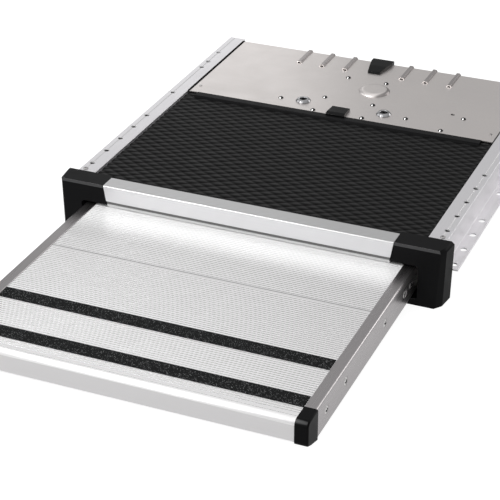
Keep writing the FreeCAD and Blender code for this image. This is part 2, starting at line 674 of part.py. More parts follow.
def cap_hollows():
    """Spaces behind the cap's walls: the column, the arm over the mouth and the foot."""
    foot_ring = cap_ring(CAP_FLOOR + CAP_WALL, CAP_FRONT_BOTTOM - 2, CAP_SIDE_BOTTOM - CAP_WALL,
                         CAP_WALL, CAP_DEPTH + 1)
    crown_ring = cap_ring(BEAM_TOP - CAP_BEVEL + 1, CAP_FRONT_TOP - 3,
                          CAP_SIDE_TOP - CAP_WALL - 1, CAP_WALL, CAP_DEPTH + 1)
    pocket = Part.makeLoft([foot_ring, crown_ring], True, True)
    far = CAP_SIDE_TOP + 5
    rear = CAP_DEPTH + 5
    low = CAP_FLOOR - 5
    high = BEAM_TOP + 5
    spaces = [block(MOUTH_OUT + 2.2, far, 0, rear, low, high),
              block(BEAM_HALF_TOP + 8, far, 0, rear, MOUTH_TOP + CAP_WALL, high),
              block(CAP_FOOT_INNER + CAP_WALL, far, 0, rear, low, GUIDE_BOTTOM + FIT_GAP)]
    return [pocket.common(space) for space in spaces]


def corner_cap():
    """Moulded shell that closes the corner between beam and rail, with the tray's mouth."""
    rail_front = RAIL_START - FIT_GAP
    rear = CAP_DEPTH + 5
    start = MEMBER_IN - CAP_INBOARD - 5
    inboard = along_y(beam_slant(0.2, BEAM_TOP + 5, BEAM_BOTTOM - 10, start), -5, rear)
    below_beam = block(start, CAP_FOOT_INNER, -5, rear, CAP_FLOOR - 5, MOUTH_TOP)
    mouth = along_y([(start, CAP_FOOT_TOP), (MOUTH_OUT, CAP_FOOT_TOP, 2),
                     (MOUTH_OUT, MOUTH_TOP, MOUTH_ROUND), (start, MOUTH_TOP)], -5, rear)
    rail_slot = block(RAIL_IN - FIT_GAP, MOUTH_OUT + 2.5, rail_front, rear,
                      RAIL_BOTTOM - 2, FLANGE_TOP + 2.8)
    lip_slot = block(RAIL_IN - GUIDE_LIP - FIT_GAP, RAIL_IN + 1, rail_front, rear,
                     GUIDE_TOP - 1, GUIDE_TOP + RAIL_WALL + 3)
    bracket_slot = block(BEAM_HALF_TOP - 5, BEAM_HALF_TOP + 12, ELBOW_FRONT - 0.5, ELBOW_REAR + 0.5,
                         ELBOW_BOTTOM - FIT_GAP, ELBOW_TOP + FIT_GAP)
    cover_slot = block(start, RAIL_IN + 1, BEAM_DEPTH, rear,
                       LEDGE_TOP - RAIL_WALL - FIT_GAP, COVER_TOP + FIT_GAP)
    floor_slot = block(start, RAIL_IN + 3, rail_front, rear, RAIL_BOTTOM - FIT_GAP,
                       GUIDE_BOTTOM + FIT_GAP)
    tongue = block(BEAM_HALF_TOP - 20, BEAM_HALF_TOP + 5, BEAM_WALL + 2, BEAM_DEPTH - 4,
                   ELBOW_TOP + 2, BEAM_TOP - BEAM_WALL - 0.8)
    cap = cap_form().cut(cap_hollows() + [inboard, below_beam, mouth, rail_slot, lip_slot,
                                          bracket_slot, cover_slot, floor_slot])
    cap = cap.fuse(tongue)
    edges = [e for e in cap.Edges
             if e.BoundBox.ZMax < CAP_FLOOR + 0.01 and e.BoundBox.XMin > CAP_FRONT_BOTTOM - 1
             and e.BoundBox.XMax > CAP_FRONT_BOTTOM + 1]
    return cap.makeChamfer(2.5, edges)


def corner_bracket():
    """Aluminium elbow that ties the beam's inside to the rail's inside."""
    inner = RAIL_IN + RAIL_WALL + 2
    outer = RAIL_OUT - TOP_WALL - 2
    start = BEAM_HALF_TOP - ELBOW_REACH
    tail = CORNER_SCREW_Y + ELBOW_TAIL
    elbow = up_z([(start, ELBOW_FRONT), (outer, ELBOW_FRONT, 4), (outer, tail), (inner, tail),
                  (inner, ELBOW_REAR, 4), (start, ELBOW_REAR)], ELBOW_BOTTOM, ELBOW_TOP)
    return elbow.cut(rod_z(ELBOW_BOTTOM - 1, ELBOW_TOP + 1, FIXING_LINE, CORNER_SCREW_Y,
                           CORNER_SCREW_RADIUS + HOLE_GAP))


def corner_screw():
    return pan_screw(FIXING_LINE, CORNER_SCREW_Y, FLANGE_TOP, ELBOW_BOTTOM,
                     CORNER_SCREW_RADIUS, 4.2, 2.0)


def scale_centres():
    """Centres of the cover's staggered scales; every second row is one scale shorter."""
    centres = []
    for row in range(SCALE_ROWS + 1):
        count = SCALE_COLUMNS - row % 2
        y = SCALE_FRONT + row * SCALE_LENGTH / 2
        centres += [((i - (count - 1) / 2) * SCALE_WIDTH, y) for i in range(count)]
    return centres


def scale_border():
    """Zigzag outline round all the scales, as (x, y) points."""
    half_width = SCALE_WIDTH / 2
    half_length = SCALE_LENGTH / 2
    side = SCALE_COLUMNS * half_width
    rear = SCALE_FRONT + SCALE_ROWS * half_length
    front_row = []
    for i in range(SCALE_COLUMNS):
        left = i * SCALE_WIDTH - side
        front_row += [(left, SCALE_FRONT), (left + half_width, SCALE_FRONT - half_length)]
    right_side = []
    for i in range(SCALE_ROWS // 2):
        y = SCALE_FRONT + i * SCALE_LENGTH
        right_side += [(side, y), (side - half_width, y + half_length)]
    rear_row = [(-x, rear + SCALE_FRONT - y) for x, y in front_row]
    left_side = [(-x, rear + SCALE_FRONT - y) for x, y in right_side]
    return front_row + right_side + rear_row + left_side


def cover_panel():
    """Moulded cover: a flat sheet whose top is tiled with low leaning scales."""
    front = BEAM_DEPTH + FIT_GAP
    half_width = SCALE_WIDTH / 2
    half_length = SCALE_LENGTH / 2
    faces = []
    for x, y in scale_centres():
        peak = V(x, y - SCALE_LEAN, COVER_TOP + SCALE_RISE)
        ring = [V(x - half_width, y, COVER_TOP), V(x, y - half_length, COVER_TOP),
                V(x + half_width, y, COVER_TOP), V(x, y + half_length, COVER_TOP)]
        for i in range(4):
            corners = [ring[i], ring[(i + 1) % 4], peak, ring[i]]
            faces.append(Part.Face(Part.makePolygon(corners)))
    sheet = block(-COVER_HALF, COVER_HALF, front, COVER_TAIL, LEDGE_TOP, COVER_TOP)
    border = [V(x, y, COVER_TOP) for x, y in scale_border()]
    tiled = Part.Face(Part.makePolygon(border + border[:1]))
    for face in sheet.Faces:
        if face.CenterOfMass.z > COVER_TOP - 0.001:
            faces += face.cut(tiled).Faces
        else:
            faces.append(face)
    shell = Part.makeShell(faces)
    shell.sewShape()
    return Part.makeSolid(shell)


def cover_bar():
    """Black trim bar over the cover's rear edge, with a sloped front."""
    return across_x([(BAR_FRONT, COVER_TOP), (BAR_FRONT + 2, COVER_TOP + BAR_HEIGHT, 2.0),
                     (BAR_REAR, COVER_TOP + BAR_HEIGHT, 0.8), (BAR_REAR, COVER_TOP)],
                    -BAR_HALF, BAR_HALF)


def bar_clip():
    """Glossy clip that hooks over the bar and lies on the rear plate."""
    top = COVER_TOP + BAR_HEIGHT
    y = PLATE_FRONT
    side = across_x([(y - 6, top), (y - 6, top + 3.0, 1.5), (y + 2, top + 4.6, 3),
                     (y + 28, top + 3.6, 2), (y + 31, FLANGE_TOP), (y + FIT_GAP, FLANGE_TOP),
                     (y + FIT_GAP, top)], -17, 17)
    plan = up_z([(-17, y - 7, 3), (17, y - 7, 3), (15.5, y + 32, 4), (-15.5, y + 32, 4)],
                FLANGE_TOP - 1, top + 8)
    return side.common(plan)


def swage(x, inset):
    """Outline of a pressed ridge, or of its hollow when inset is the sheet's thickness."""
    half = SWAGE_WIDTH / 2 - inset
    top = FLANGE_TOP + SWAGE_HEIGHT - inset
    base = PLATE_UNDER - (1 if inset else 0)
    return [(x - half, base), (x - half, FLANGE_TOP - inset), (x - half + 2, top, 1.0),
            (x + half - 2, top, 1.0), (x + half, FLANGE_TOP - inset), (x + half, base)]


def plate_boss():
    """Round raised boss over the drive shaft, and the hollow pressed into its underside."""
    top = FLANGE_TOP + BOSS_HEIGHT
    under = top - PLATE_THICK
    solid = turned([(0, PLATE_UNDER), (BOSS_RADIUS, PLATE_UNDER), (BOSS_RADIUS, FLANGE_TOP),
                    (BOSS_RADIUS - 3.5, top, 11.0), (0, top)], BOSS_X, BOSS_Y)
    hollow = turned([(0, PLATE_UNDER - 1), (BOSS_RADIUS - 2, PLATE_UNDER - 1),
                     (BOSS_RADIUS - 2, FLANGE_TOP - 1), (BOSS_RADIUS - 5, under, 9.0), (0, under)],
                    BOSS_X, BOSS_Y)
    return solid, hollow


def plate_holes():
    """Cuts through the plate for rivets, collars and the spare hole."""
    holes = [(SPARE_HOLE, SPARE_HOLE_RADIUS)]
    holes += [((x, COLLAR_Y), COLLAR_HOLE) for x in (-COLLAR_X, COLLAR_X)]
    holes += [(place, RIVET_HOLE) for place in rivet_places()]
    holes += [(place, CORNER_RIVET_RADIUS + HOLE_GAP) for place in CORNER_RIVETS]
    return [rod_z(FLANGE_TOP - 3, FLANGE_TOP + 3, place[0], place[1], radius)
            for place, radius in holes]


def rear_plate():
    """Stainless sheet with pressed swages, a round boss and a folded rear skirt."""
    half = COVER_HALF
    inside = PLATE_REAR - PLATE_THICK
    top = across_x([(PLATE_FRONT, PLATE_UNDER), (PLATE_FRONT, FLANGE_TOP),
                    (PLATE_REAR, FLANGE_TOP, 3.0), (PLATE_REAR, PLATE_SKIRT),
                    (inside, PLATE_SKIRT), (inside, PLATE_UNDER, 1.5)], -half, half)
    lip = block(half - PLATE_THICK, half, PLATE_FRONT + 6, PLATE_REAR - 10,
                LEDGE_TOP, PLATE_UNDER + 0.5)
    ridges = []
    hollows = []
    for x in SWAGE_XS:
        for side in (-x, x):
            ridges.append(along_y(swage(side, 0), SWAGE_FRONT, PLATE_REAR))
            hollows.append(along_y(swage(side, PLATE_THICK * 0.7), SWAGE_FRONT - 1, PLATE_REAR + 1))
    boss, boss_hollow = plate_boss()
    notches = []
    for reach, shelf in ((COVER_LEDGE, LEDGE_TOP), (GUIDE_LIP, GUIDE_TOP + RAIL_WALL)):
        notches.append(block(RAIL_IN - reach - 0.5, RAIL_IN, PLATE_REAR - 5, PLATE_REAR + 1,
                             shelf - RAIL_WALL - FIT_GAP, shelf + FIT_GAP))
    notches += [mirrored(notch) for notch in notches]
    gland_hole = rod_y(PLATE_REAR - 4, PLATE_REAR + 4, GLAND_X, GLAND_Z, GLAND_RADIUS + HOLE_GAP)
    plate = joined([top, lip, mirrored(lip), boss] + ridges)
    return plate.cut(hollows + notches + plate_holes() + [boss_hollow, gland_hole])


def rivet_places():
    places = [(side * x, y) for side in (-1, 1) for x, y in DOUBLER_RIVETS]
    return places + list(MOTOR_RIVETS) + list(SENSOR_RIVETS)


def dome_rivet(x, y, tail):
    """Blind rivet: domed head on the plate, shank and a set tail below."""
    head = RIVET_HEAD_RADIUS
    lift = RIVET_HEAD_HEIGHT
    ball = (head * head + lift * lift) / (2 * lift)
    dome = Part.makeSphere(ball, V(x, y, FLANGE_TOP + lift - ball))
    dome = dome.common(rod_z(FLANGE_TOP, FLANGE_TOP + lift + 1, x, y, head))
    shank = rod_z(tail, FLANGE_TOP, x, y, RIVET_RADIUS)
    foot = rod_z(tail - 1.5, tail, x, y, RIVET_RADIUS + 1.0)
    return joined([dome, shank, foot])


def plate_rivets():
    return group([dome_rivet(x, y, BRACKET_UNDER) for x, y in rivet_places()])


def corner_rivets():
    rivets = []
    for x, y in CORNER_RIVETS:
        head = rod_z(FLANGE_TOP, FLANGE_TOP + 1.0, x, y, CORNER_RIVET_RADIUS + 1.0)
        shank = rod_z(LEDGE_TOP, FLANGE_TOP, x, y, CORNER_RIVET_RADIUS)
        rivets.append(joined([head, shank]))
    return group(rivets)


def fixing_collar(x):
    """Raised press-in collar with a rounded crown and a through bore."""
    top = FLANGE_TOP + COLLAR_HEIGHT
    under = BRACKET_UNDER - 5
    sleeve = COLLAR_HOLE - HOLE_GAP
    return turned([(COLLAR_BORE, top - 1.0), (COLLAR_BORE + 1.0, top),
                   (COLLAR_RADIUS - 3.0, top, 3.0), (COLLAR_RADIUS, FLANGE_TOP + 1.0, 1.0),
                   (COLLAR_RADIUS, FLANGE_TOP), (sleeve, FLANGE_TOP), (sleeve, under),
                   (COLLAR_BORE, under)], x, COLLAR_Y)


def bracket_holes(places, radius):
    """Cuts through a sheet that lies against the rear plate's underside."""
    return [rod_z(BRACKET_TOP - 4, BRACKET_TOP + 1, x, y, radius) for x, y in places]


def doubler_plate():
    """Three-cornered stiffener under the right collar."""
    outer, rear, front = DOUBLER_RIVETS
    corners = [(outer[0] + 9, outer[1], 8), (rear[0] - 3, rear[1] + 9, 6), (rear[0] - 9, rear[1], 3),
               (front[0] - 9, front[1], 3), (front[0] - 3, front[1] - 3, 2),
               (outer[0] - 10, front[1] - 3, 8)]
    plate = up_z(corners, BRACKET_UNDER, BRACKET_TOP)
    return plate.cut(bracket_holes(DOUBLER_RIVETS, RIVET_HOLE)
                     + bracket_holes([(COLLAR_X, COLLAR_Y)], COLLAR_HOLE))


def edge_cap():
    """Glossy wedge-shaped cable cap over the plate's rear edge."""
    y = PLATE_REAR
    top = FLANGE_TOP + 6.0
    side = across_x([(y - 56, FLANGE_TOP), (y - 54, FLANGE_TOP + 3.5, 1.5), (y - 30, top, 6),
                     (y + 3, top, 2.5), (y + 3, FLANGE_TOP - 12), (y + 0.2, FLANGE_TOP - 12),
                     (y + 0.2, FLANGE_TOP)], -21, 21)
    plan = up_z([(-11, y - 57, 3), (11, y - 57, 3), (20, y - 10, 6), (20, y + 10), (-20, y + 10),
                 (-20, y - 10, 6)], FLANGE_TOP - 20, FLANGE_TOP + 10)
    return side.common(plan)


def sensor_bracket():
    plate = up_z(rectangle(SENSOR_X - 23, SENSOR_X + 18, PLATE_FRONT + 5, PLATE_FRONT + 78, 4),
                 BRACKET_UNDER, BRACKET_TOP)
    return plate.cut(bracket_holes(SENSOR_RIVETS, RIVET_HOLE))


def sensor():
    """Sealed end-position sensor under its bracket."""
    front = PLATE_FRONT + 18
    body = up_z(rectangle(SENSOR_X - 9, SENSOR_X + 9, front, front + 22, 3),
                GUIDE_TOP + 4, BRACKET_UNDER)
    stub = rod_y(front + 21, front + 28, SENSOR_X, 16, 3)
    return joined([body, stub])


# Guides and stops

def front_glide():
    """Plastic channel in the rail's front end that carries the side member."""
    under = -MEMBER_HEIGHT - SLIDE_GAP
    side = MEMBER_OUT + SLIDE_GAP
    inner = MEMBER_IN + GLIDE_INSET
    profile = [(inner, GUIDE_TOP, 0.5), (RAIL_IN, GUIDE_TOP), (RAIL_IN, GUIDE_BOTTOM),
               (MEMBER_IN + 1, GUIDE_BOTTOM, 0.5), (MEMBER_IN + 1, under, 0.5),
               (side, under, MEMBER_ROUND - 1.5), (side, SLIDE_GAP, MEMBER_ROUND - 0.5),
               (inner, SLIDE_GAP, 0.5)]
    return along_y(profile, GLIDE_FRONT, GLIDE_FRONT + GLIDE_LENGTH)


def travel_stop():
    """Block riveted in the guide that stops the rear glide at full reach."""
    rear = MEMBER_TAIL - GLIDE_LENGTH - SLIDE_GAP
    return across_x(rectangle(rear - 20, rear, -36, -12, 2), MEMBER_OUT + 0.7, RAIL_IN)


def rear_bumper():
    """Rubber buffer on the rear skirt behind the side member."""
    x = (MEMBER_IN + MEMBER_OUT) / 2
    start = MEMBER_TAIL + TRAY_STROKE + BUMPER_GAP
    return Part.makeCone(6.0, 8.0, BUMPER_LENGTH, V(x, start, -SCREW_LINE), V(0, 1, 0))


# Drive

def motor_bracket():
    """Folded sheet that hangs the gearmotor under the rear plate."""
    web = BOSS_Y + HANGER_BACK
    lug = MOTOR_Y
    left = BOSS_X - SHELF_LEFT
    right = BOSS_X + SHELF_RIGHT
    under = GEARBOX_TOP
    fold = across_x([(lug, BRACKET_TOP), (lug, BRACKET_UNDER), (web, BRACKET_UNDER, 1.0),
                     (web, SHELF_TOP, 1.0), (SHELF_FRONT, SHELF_TOP), (SHELF_FRONT, under),
                     (web + BRACKET_THICK, under, 3.0), (web + BRACKET_THICK, BRACKET_TOP, 3.0)],
                    left, right)
    gaps = [(BOSS_X - 47, BOSS_X - 9), (right - 28, right)]
    lug_gaps = [block(x0, x1, lug - 1, web - 1, BRACKET_UNDER - 1, BRACKET_TOP + 1)
                for x0, x1 in gaps]
    gussets = [across_x([(web, SHELF_TOP), (web, SHELF_TOP + 18), (web - 18, SHELF_TOP)], x, x + 2)
               for x in (left, right - 2)]
    holes = bracket_holes(MOTOR_RIVETS, RIVET_HOLE)
    holes.append(rod_z(under - 1, SHELF_TOP + 1, BOSS_X, BOSS_Y, 15))
    holes += [rod_z(under - 1, SHELF_TOP + 1, x, y, SMALL_HOLE) for x, y in gearbox_screw_places()]
    return joined([fold] + gussets).cut(holes + lug_gaps)


def gearbox_screw_places():
    spots = []
    for angle in (50, 170, 290):
        turn = math.radians(angle)
        spots.append((BOSS_X + GEARBOX_SCREW_LINE * math.cos(turn),
                      BOSS_Y + GEARBOX_SCREW_LINE * math.sin(turn)))
    return spots


def gearbox_housing():
    """Cast housing: round wheel case with a side barrel for the worm."""
    top = GEARBOX_TOP
    bottom = GEARBOX_BOTTOM
    case = turned([(0, top), (GEARBOX_RADIUS, top, 2.0), (GEARBOX_RADIUS, bottom), (0, bottom)],
                  BOSS_X, BOSS_Y)
    neck = rod_z(top - 1, SHELF_TOP + 2.5, BOSS_X, BOSS_Y, 11)
    face = BOSS_X - MOTOR_FACE
    barrel = rod_x(face + 6, BOSS_X + BARREL_RIGHT, MOTOR_Y, -MOTOR_DROP, BARREL_RADIUS)
    collar = rod_x(face, face + 8, MOTOR_Y, -MOTOR_DROP, MOTOR_RADIUS)
    body = joined([case, neck, barrel, collar])
    holes = [rod_z(top - 12, top + 1, x, y, SMALL_HOLE) for x, y in gearbox_screw_places()]
    holes += [rod_z(bottom - 1, bottom + 7, x, y, LID_SCREW_RADIUS + HOLE_GAP)
              for x, y in lid_screw_places()]
    holes.append(rod_z(bottom + 5, SHELF_TOP + 3, BOSS_X, BOSS_Y, SHAFT_RADIUS + BORE_GAP))
    return body.cut(holes)


def gearbox_cover():
    """Ribbed lid under the wheel case."""
    top = GEARBOX_BOTTOM
    lid = turned([(0, top), (GEARBOX_RADIUS, top), (GEARBOX_RADIUS, top - 3, 1), (16, top - 3),
                  (13, top - 6, 1), (0, top - 6)], BOSS_X, BOSS_Y)
    ribs = []
    for i in range(6):
        rib = block(12, GEARBOX_RADIUS - 4, -1, 1, top - 5, top - 2.5)
        rib.rotate(V(0, 0, 0), V(0, 0, 1), 60 * i + 30)
        rib.translate(V(BOSS_X, BOSS_Y, 0))
        ribs.append(rib)
    holes = [rod_z(top - 4, top + 1, x, y, LID_SCREW_RADIUS + HOLE_GAP)
             for x, y in lid_screw_places()]
    return joined([lid] + ribs).cut(holes)


def lid_screw_places():
    radius = GEARBOX_RADIUS - 5
    turns = [math.radians(60 * i) for i in range(6)]
    return [(BOSS_X + radius * math.cos(turn), BOSS_Y + radius * math.sin(turn)) for turn in turns]


def gearbox_cover_screws():
    seat = GEARBOX_BOTTOM - 3
    return group([pan_screw(x, y, seat, seat + 9, LID_SCREW_RADIUS, 3.0, 1.8)
                  for x, y in lid_screw_places()])


def gearbox_screws():
    return group([pan_screw(x, y, SHELF_TOP, SHELF_TOP - 12) for x, y in gearbox_screw_places()])


def motor_can():
    """Drawn steel can of the motor, with two flats."""
    can = rod_x(MOTOR_START, MOTOR_START + MOTOR_LENGTH, MOTOR_Y, -MOTOR_DROP, MOTOR_RADIUS - 1)
    reach = MOTOR_RADIUS + 1
    flats = [block(MOTOR_START + 6, MOTOR_START + MOTOR_LENGTH - 8, low, high,
                   -MOTOR_DROP - reach, -MOTOR_DROP + reach)
             for low, high in ((MOTOR_Y - reach, MOTOR_Y - 19.5), (MOTOR_Y + 19.5, MOTOR_Y + reach))]
    return can.cut(flats)


def motor_end():
    """Plastic brush-end of the motor with a connector socket."""
    start = MOTOR_START
    axis = -MOTOR_DROP
    disc = rod_x(start - 9, start, MOTOR_Y, axis, MOTOR_RADIUS - 2)
    nub = rod_x(start - 14, start - 8, MOTOR_Y, axis, 7)
    socket = block(start - 9, start, MOTOR_Y - 8, MOTOR_Y + 8, axis - 31, axis - 10)
    mouth = block(start - 10, start - 4, MOTOR_Y - 6, MOTOR_Y + 6, axis - 29, axis - 24)
    return joined([disc, nub, socket]).cut(mouth)


def pulley(x, y, bore):
    """Toothed belt pulley with two guide flanges."""
    rim = PULLEY_RADIUS + FLANGE_LIP
    low = BELT_BOTTOM - 1.0
    high = BELT_TOP + 1.0
    wheel = turned([(bore, low), (rim, low), (rim, low + 0.8), (PULLEY_RADIUS, low + 0.8),
                    (PULLEY_RADIUS, high - 0.8), (rim, high - 0.8), (rim, high), (bore, high)],
                   x, y)
    teeth = 20
    slots = []
    for i in range(teeth):
        slot = rod_z(low + 0.8, high - 0.8, PULLEY_RADIUS, 0, 0.9)
        slot.rotate(V(0, 0, 0), V(0, 0, 1), 360.0 * i / teeth)
        slot.translate(V(x, y, 0))
        slots.append(slot)
    return wheel.cut(slots)


def drive_pulley():
    return pulley(BOSS_X, BOSS_Y, SHAFT_RADIUS)


def idler_pulley():
    return pulley(BOSS_X, IDLER_Y, IDLER_PIN_RADIUS + BORE_GAP)


def output_shaft():
    """Gearbox output shaft that carries the drive pulley."""
    return rod_z(GEARBOX_BOTTOM + 6, BELT_TOP + 7, BOSS_X, BOSS_Y, SHAFT_RADIUS)


def shaft_nut():
    """Hexagon nut that holds the drive pulley on its shaft."""
    low = BELT_TOP + 1.0
    turns = [math.radians(60 * i) for i in range(6)]
    corners = [(BOSS_X + 8.5 * math.cos(turn), BOSS_Y + 8.5 * math.sin(turn)) for turn in turns]
    return up_z(corners, low, low + 5).cut(rod_z(low - 1, low + 6, BOSS_X, BOSS_Y, SHAFT_RADIUS))


def belt_loop(radius, low, high):
    """Stadium-shaped solid round the two pulley axes."""
    run = block(BOSS_X - radius, BOSS_X + radius, IDLER_Y, BOSS_Y, low, high)
    ends = [rod_z(low, high, BOSS_X, y, radius) for y in (IDLER_Y, BOSS_Y)]
    return joined([run] + ends)


def drive_belt():
    """Closed belt loop round both pulleys."""
    outer = belt_loop(BELT_INNER + BELT_THICK, BELT_BOTTOM, BELT_TOP)
    return outer.cut(belt_loop(BELT_INNER, BELT_BOTTOM - 1, BELT_TOP + 1))


def idler_bracket():
    """Angle on the beam's rear face that carries the idler pin."""
    leg = IDLER_ARM_UNDER
    top = leg + IDLER_ARM_THICK
    back = BEAM_DEPTH + IDLER_ARM_THICK
    angle = across_x([(BEAM_DEPTH, IDLER_SCREW_Z - 6, 1), (BEAM_DEPTH, top, 2.5),
                      (IDLER_ARM_END, top, 1), (IDLER_ARM_END, leg, 1), (back, leg, 1),
                      (back, IDLER_SCREW_Z - 6, 1)], BOSS_X - 22, BOSS_X + 22)
    holes = [rod_y(BEAM_DEPTH - 1, BEAM_DEPTH + 4, x, IDLER_SCREW_Z, SMALL_HOLE)
             for x in IDLER_SCREW_XS]
    holes.append(rod_z(leg - 1, leg + 4, BOSS_X, IDLER_Y, IDLER_PIN_RADIUS))
    return angle.cut(holes)


def idler_pin():
    """Pin with a retaining head below the idler."""
    low = BELT_BOTTOM - 1.0
    top = IDLER_ARM_UNDER + IDLER_ARM_THICK
    return turned([(0, low - 2.2), (6, low - 2.2), (6, low - 0.4), (IDLER_PIN_RADIUS, low - 0.4),
                   (IDLER_PIN_RADIUS, top), (0, top)], BOSS_X, IDLER_Y)


# Underside and rear

def front_tie():
    """Flat strap with turned-down edges under the rails' front ends."""
    z = RAIL_BOTTOM
    rear = TIE_FRONT + TIE_WIDTH
    edge = z - TIE_EDGE
    face = z - PAN_THICK
    channel = across_x([(TIE_FRONT, z, 1.0), (TIE_FRONT, edge), (TIE_FRONT + 1.5, edge),
                        (TIE_FRONT + 1.5, face, 0.8), (rear - 1.5, face, 0.8),
                        (rear - 1.5, edge), (rear, edge), (rear, z, 1.0)], -RAIL_IN, RAIL_IN)
    return channel.cut([rod_z(edge, z + 1, x, TIE_SCREW_Y, SMALL_HOLE) for x in FRAME_SCREW_XS])


def motor_guard():
    """Sheet pan under the motor bay, screwed to the rails' floors."""
    low = CAP_FLOOR
    half = RAIL_IN
    step = RAIL_IN - GUIDE_FLOOR - 6
    wall = [(half, RAIL_BOTTOM - PAN_THICK), (step + 1.5, RAIL_BOTTOM - PAN_THICK), (step, low)]
    face = [(step - 1.3, low + PAN_THICK), (step + 0.2, RAIL_BOTTOM), (half, RAIL_BOTTOM)]
    outline = wall + [(-x, z) for x, z in reversed(wall)]
    outline += [(-x, z) for x, z in reversed(face)] + face
    pan = along_y(outline, PAN_FRONT, PAN_REAR)
    holes = [rod_z(RAIL_BOTTOM - 4, RAIL_BOTTOM + 1, x, y, SMALL_HOLE)
             for x in FRAME_SCREW_XS for y in PAN_SCREW_YS]
    for x in (-160, -80, 0, 80, 160):
        drain = rectangle(x - 20, x + 20, PAN_REAR - 30, PAN_REAR - 22, 3.9)
        holes.append(up_z(drain, low - 1, low + 3))
    return pan.cut(holes)


def frame_screws():
    """Screws that hold the front tie and the motor guard to the rails."""
    places = [(x, y) for x in FRAME_SCREW_XS for y in (TIE_SCREW_Y,) + PAN_SCREW_YS]
    seat = RAIL_BOTTOM - PAN_THICK
    return group([pan_screw(x, y, seat, GUIDE_BOTTOM, SMALL_SCREW_RADIUS, 4.5, 2.4)
                  for x, y in places])


def idler_screws():
    seat = BEAM_DEPTH + IDLER_ARM_THICK
    screws = []
    for x in IDLER_SCREW_XS:
        head = rod_y(seat, seat + 2.2, x, IDLER_SCREW_Z, 3.4)
        shank = rod_y(BEAM_DEPTH - 4, seat, x, IDLER_SCREW_Z, SMALL_SCREW_RADIUS)
        screws.append(joined([head, shank]))
    return group(screws)


def cable_gland():
    """Gland in the rear skirt where the supply lead would enter."""
    y = PLATE_REAR
    flange = rod_y(y, y + 2.5, GLAND_X, GLAND_Z, GLAND_RADIUS + 3)
    barrel = rod_y(y - 8, y, GLAND_X, GLAND_Z, GLAND_RADIUS)
    dome = Part.makeCone(GLAND_RADIUS + 1, GLAND_RADIUS - 1, 5, V(GLAND_X, y + 2.5, GLAND_Z),
                         V(0, 1, 0))
    bore = rod_y(y - 9, y + 9, GLAND_X, GLAND_Z, 3.5)
    return joined([flange, barrel, dome]).cut(bore)


# Nodes

def nodes():
    """Every node's name and shape, as drawn."""
    parts = {
        "front_beam": front_beam(),
        "cover_panel": cover_panel(),
        "cover_bar": cover_bar(),
        "bar_clip": bar_clip(),
        "rear_plate": rear_plate(),
        "plate_rivets": plate_rivets(),
        "corner_rivets": corner_rivets(),
        "edge_cap": edge_cap(),
        "sensor_bracket": sensor_bracket(),
        "end_sensor": sensor(),
        "motor_bracket": motor_bracket(),
        "gearbox_housing": gearbox_housing(),
        "gearbox_cover": gearbox_cover(),
        "gearbox_cover_screws": gearbox_cover_screws(),
        "gearbox_screws": gearbox_screws(),
        "motor_can": motor_can(),
        "motor_end": motor_end(),
        "output_shaft": output_shaft(),
        "drive_pulley": drive_pulley(),
        "shaft_nut": shaft_nut(),
        "drive_belt": drive_belt(),
        "idler_pulley": idler_pulley(),
        "idler_pin": idler_pin(),
        "idler_bracket": idler_bracket(),
        "idler_screws": idler_screws(),
        "front_tie": front_tie(),
        "motor_guard": motor_guard(),
        "frame_screws": frame_screws(),
        "cable_gland": cable_gland(),
        "tread_front": front_plank(),
        "tread_rear": rear_plank(),
        "grip_tape_front": grip_tape(TAPE_FRONTS[0]),
        "grip_tape_rear": grip_tape(TAPE_FRONTS[1]),
        "drive_bracket": drive_bracket(),
        "belt_clamp": belt_clamp(),
        "drive_screws": drive_screws(),
        "sensor_magnet": magnet(),
        "corner_screws": both_sides([corner_screw()]),
        "member_screws": both_sides([member_screw(-y) for y in MEMBER_SCREWS]),
        "fixing_collars": group([fixing_collar(x) for x in (-COLLAR_X, COLLAR_X)]),
    }
    handed = {
        "side_rail": side_rail(),
        "corner_cap": corner_cap(),
        "corner_bracket": corner_bracket(),
        "doubler_plate": doubler_plate(),
        "front_glide": front_glide(),
        "travel_stop": travel_stop(),
        "rear_bumper": rear_bumper(),
        "side_member": side_member(),
        "end_cap": end_cap(),
        "rear_glide": rear_glide(),
    }
    for name, shape in handed.items():
        parts[name + "_right"] = shape
        parts[name + "_left"] = mirrored(shape)
    return parts


os.makedirs("parts", exist_ok=True)
for name, shape in nodes().items():
    placed = shape.copy()
    placed.translate(DATUM)
    placed.exportStep("parts/" + name + ".step")
    print(name, len(placed.Solids), placed.isValid())
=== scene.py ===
"""Looks of a slide-out entry step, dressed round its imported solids.

Everything is in metres in the row frame: X runs along the doorway, Y points under the vehicle,
Z points up, and the origin lies midway between the outermost fixing holes.
"""

import logging
import math
import random
from dataclasses import dataclass
from enum import Enum
from functools import reduce
from typing import Iterable, Sequence

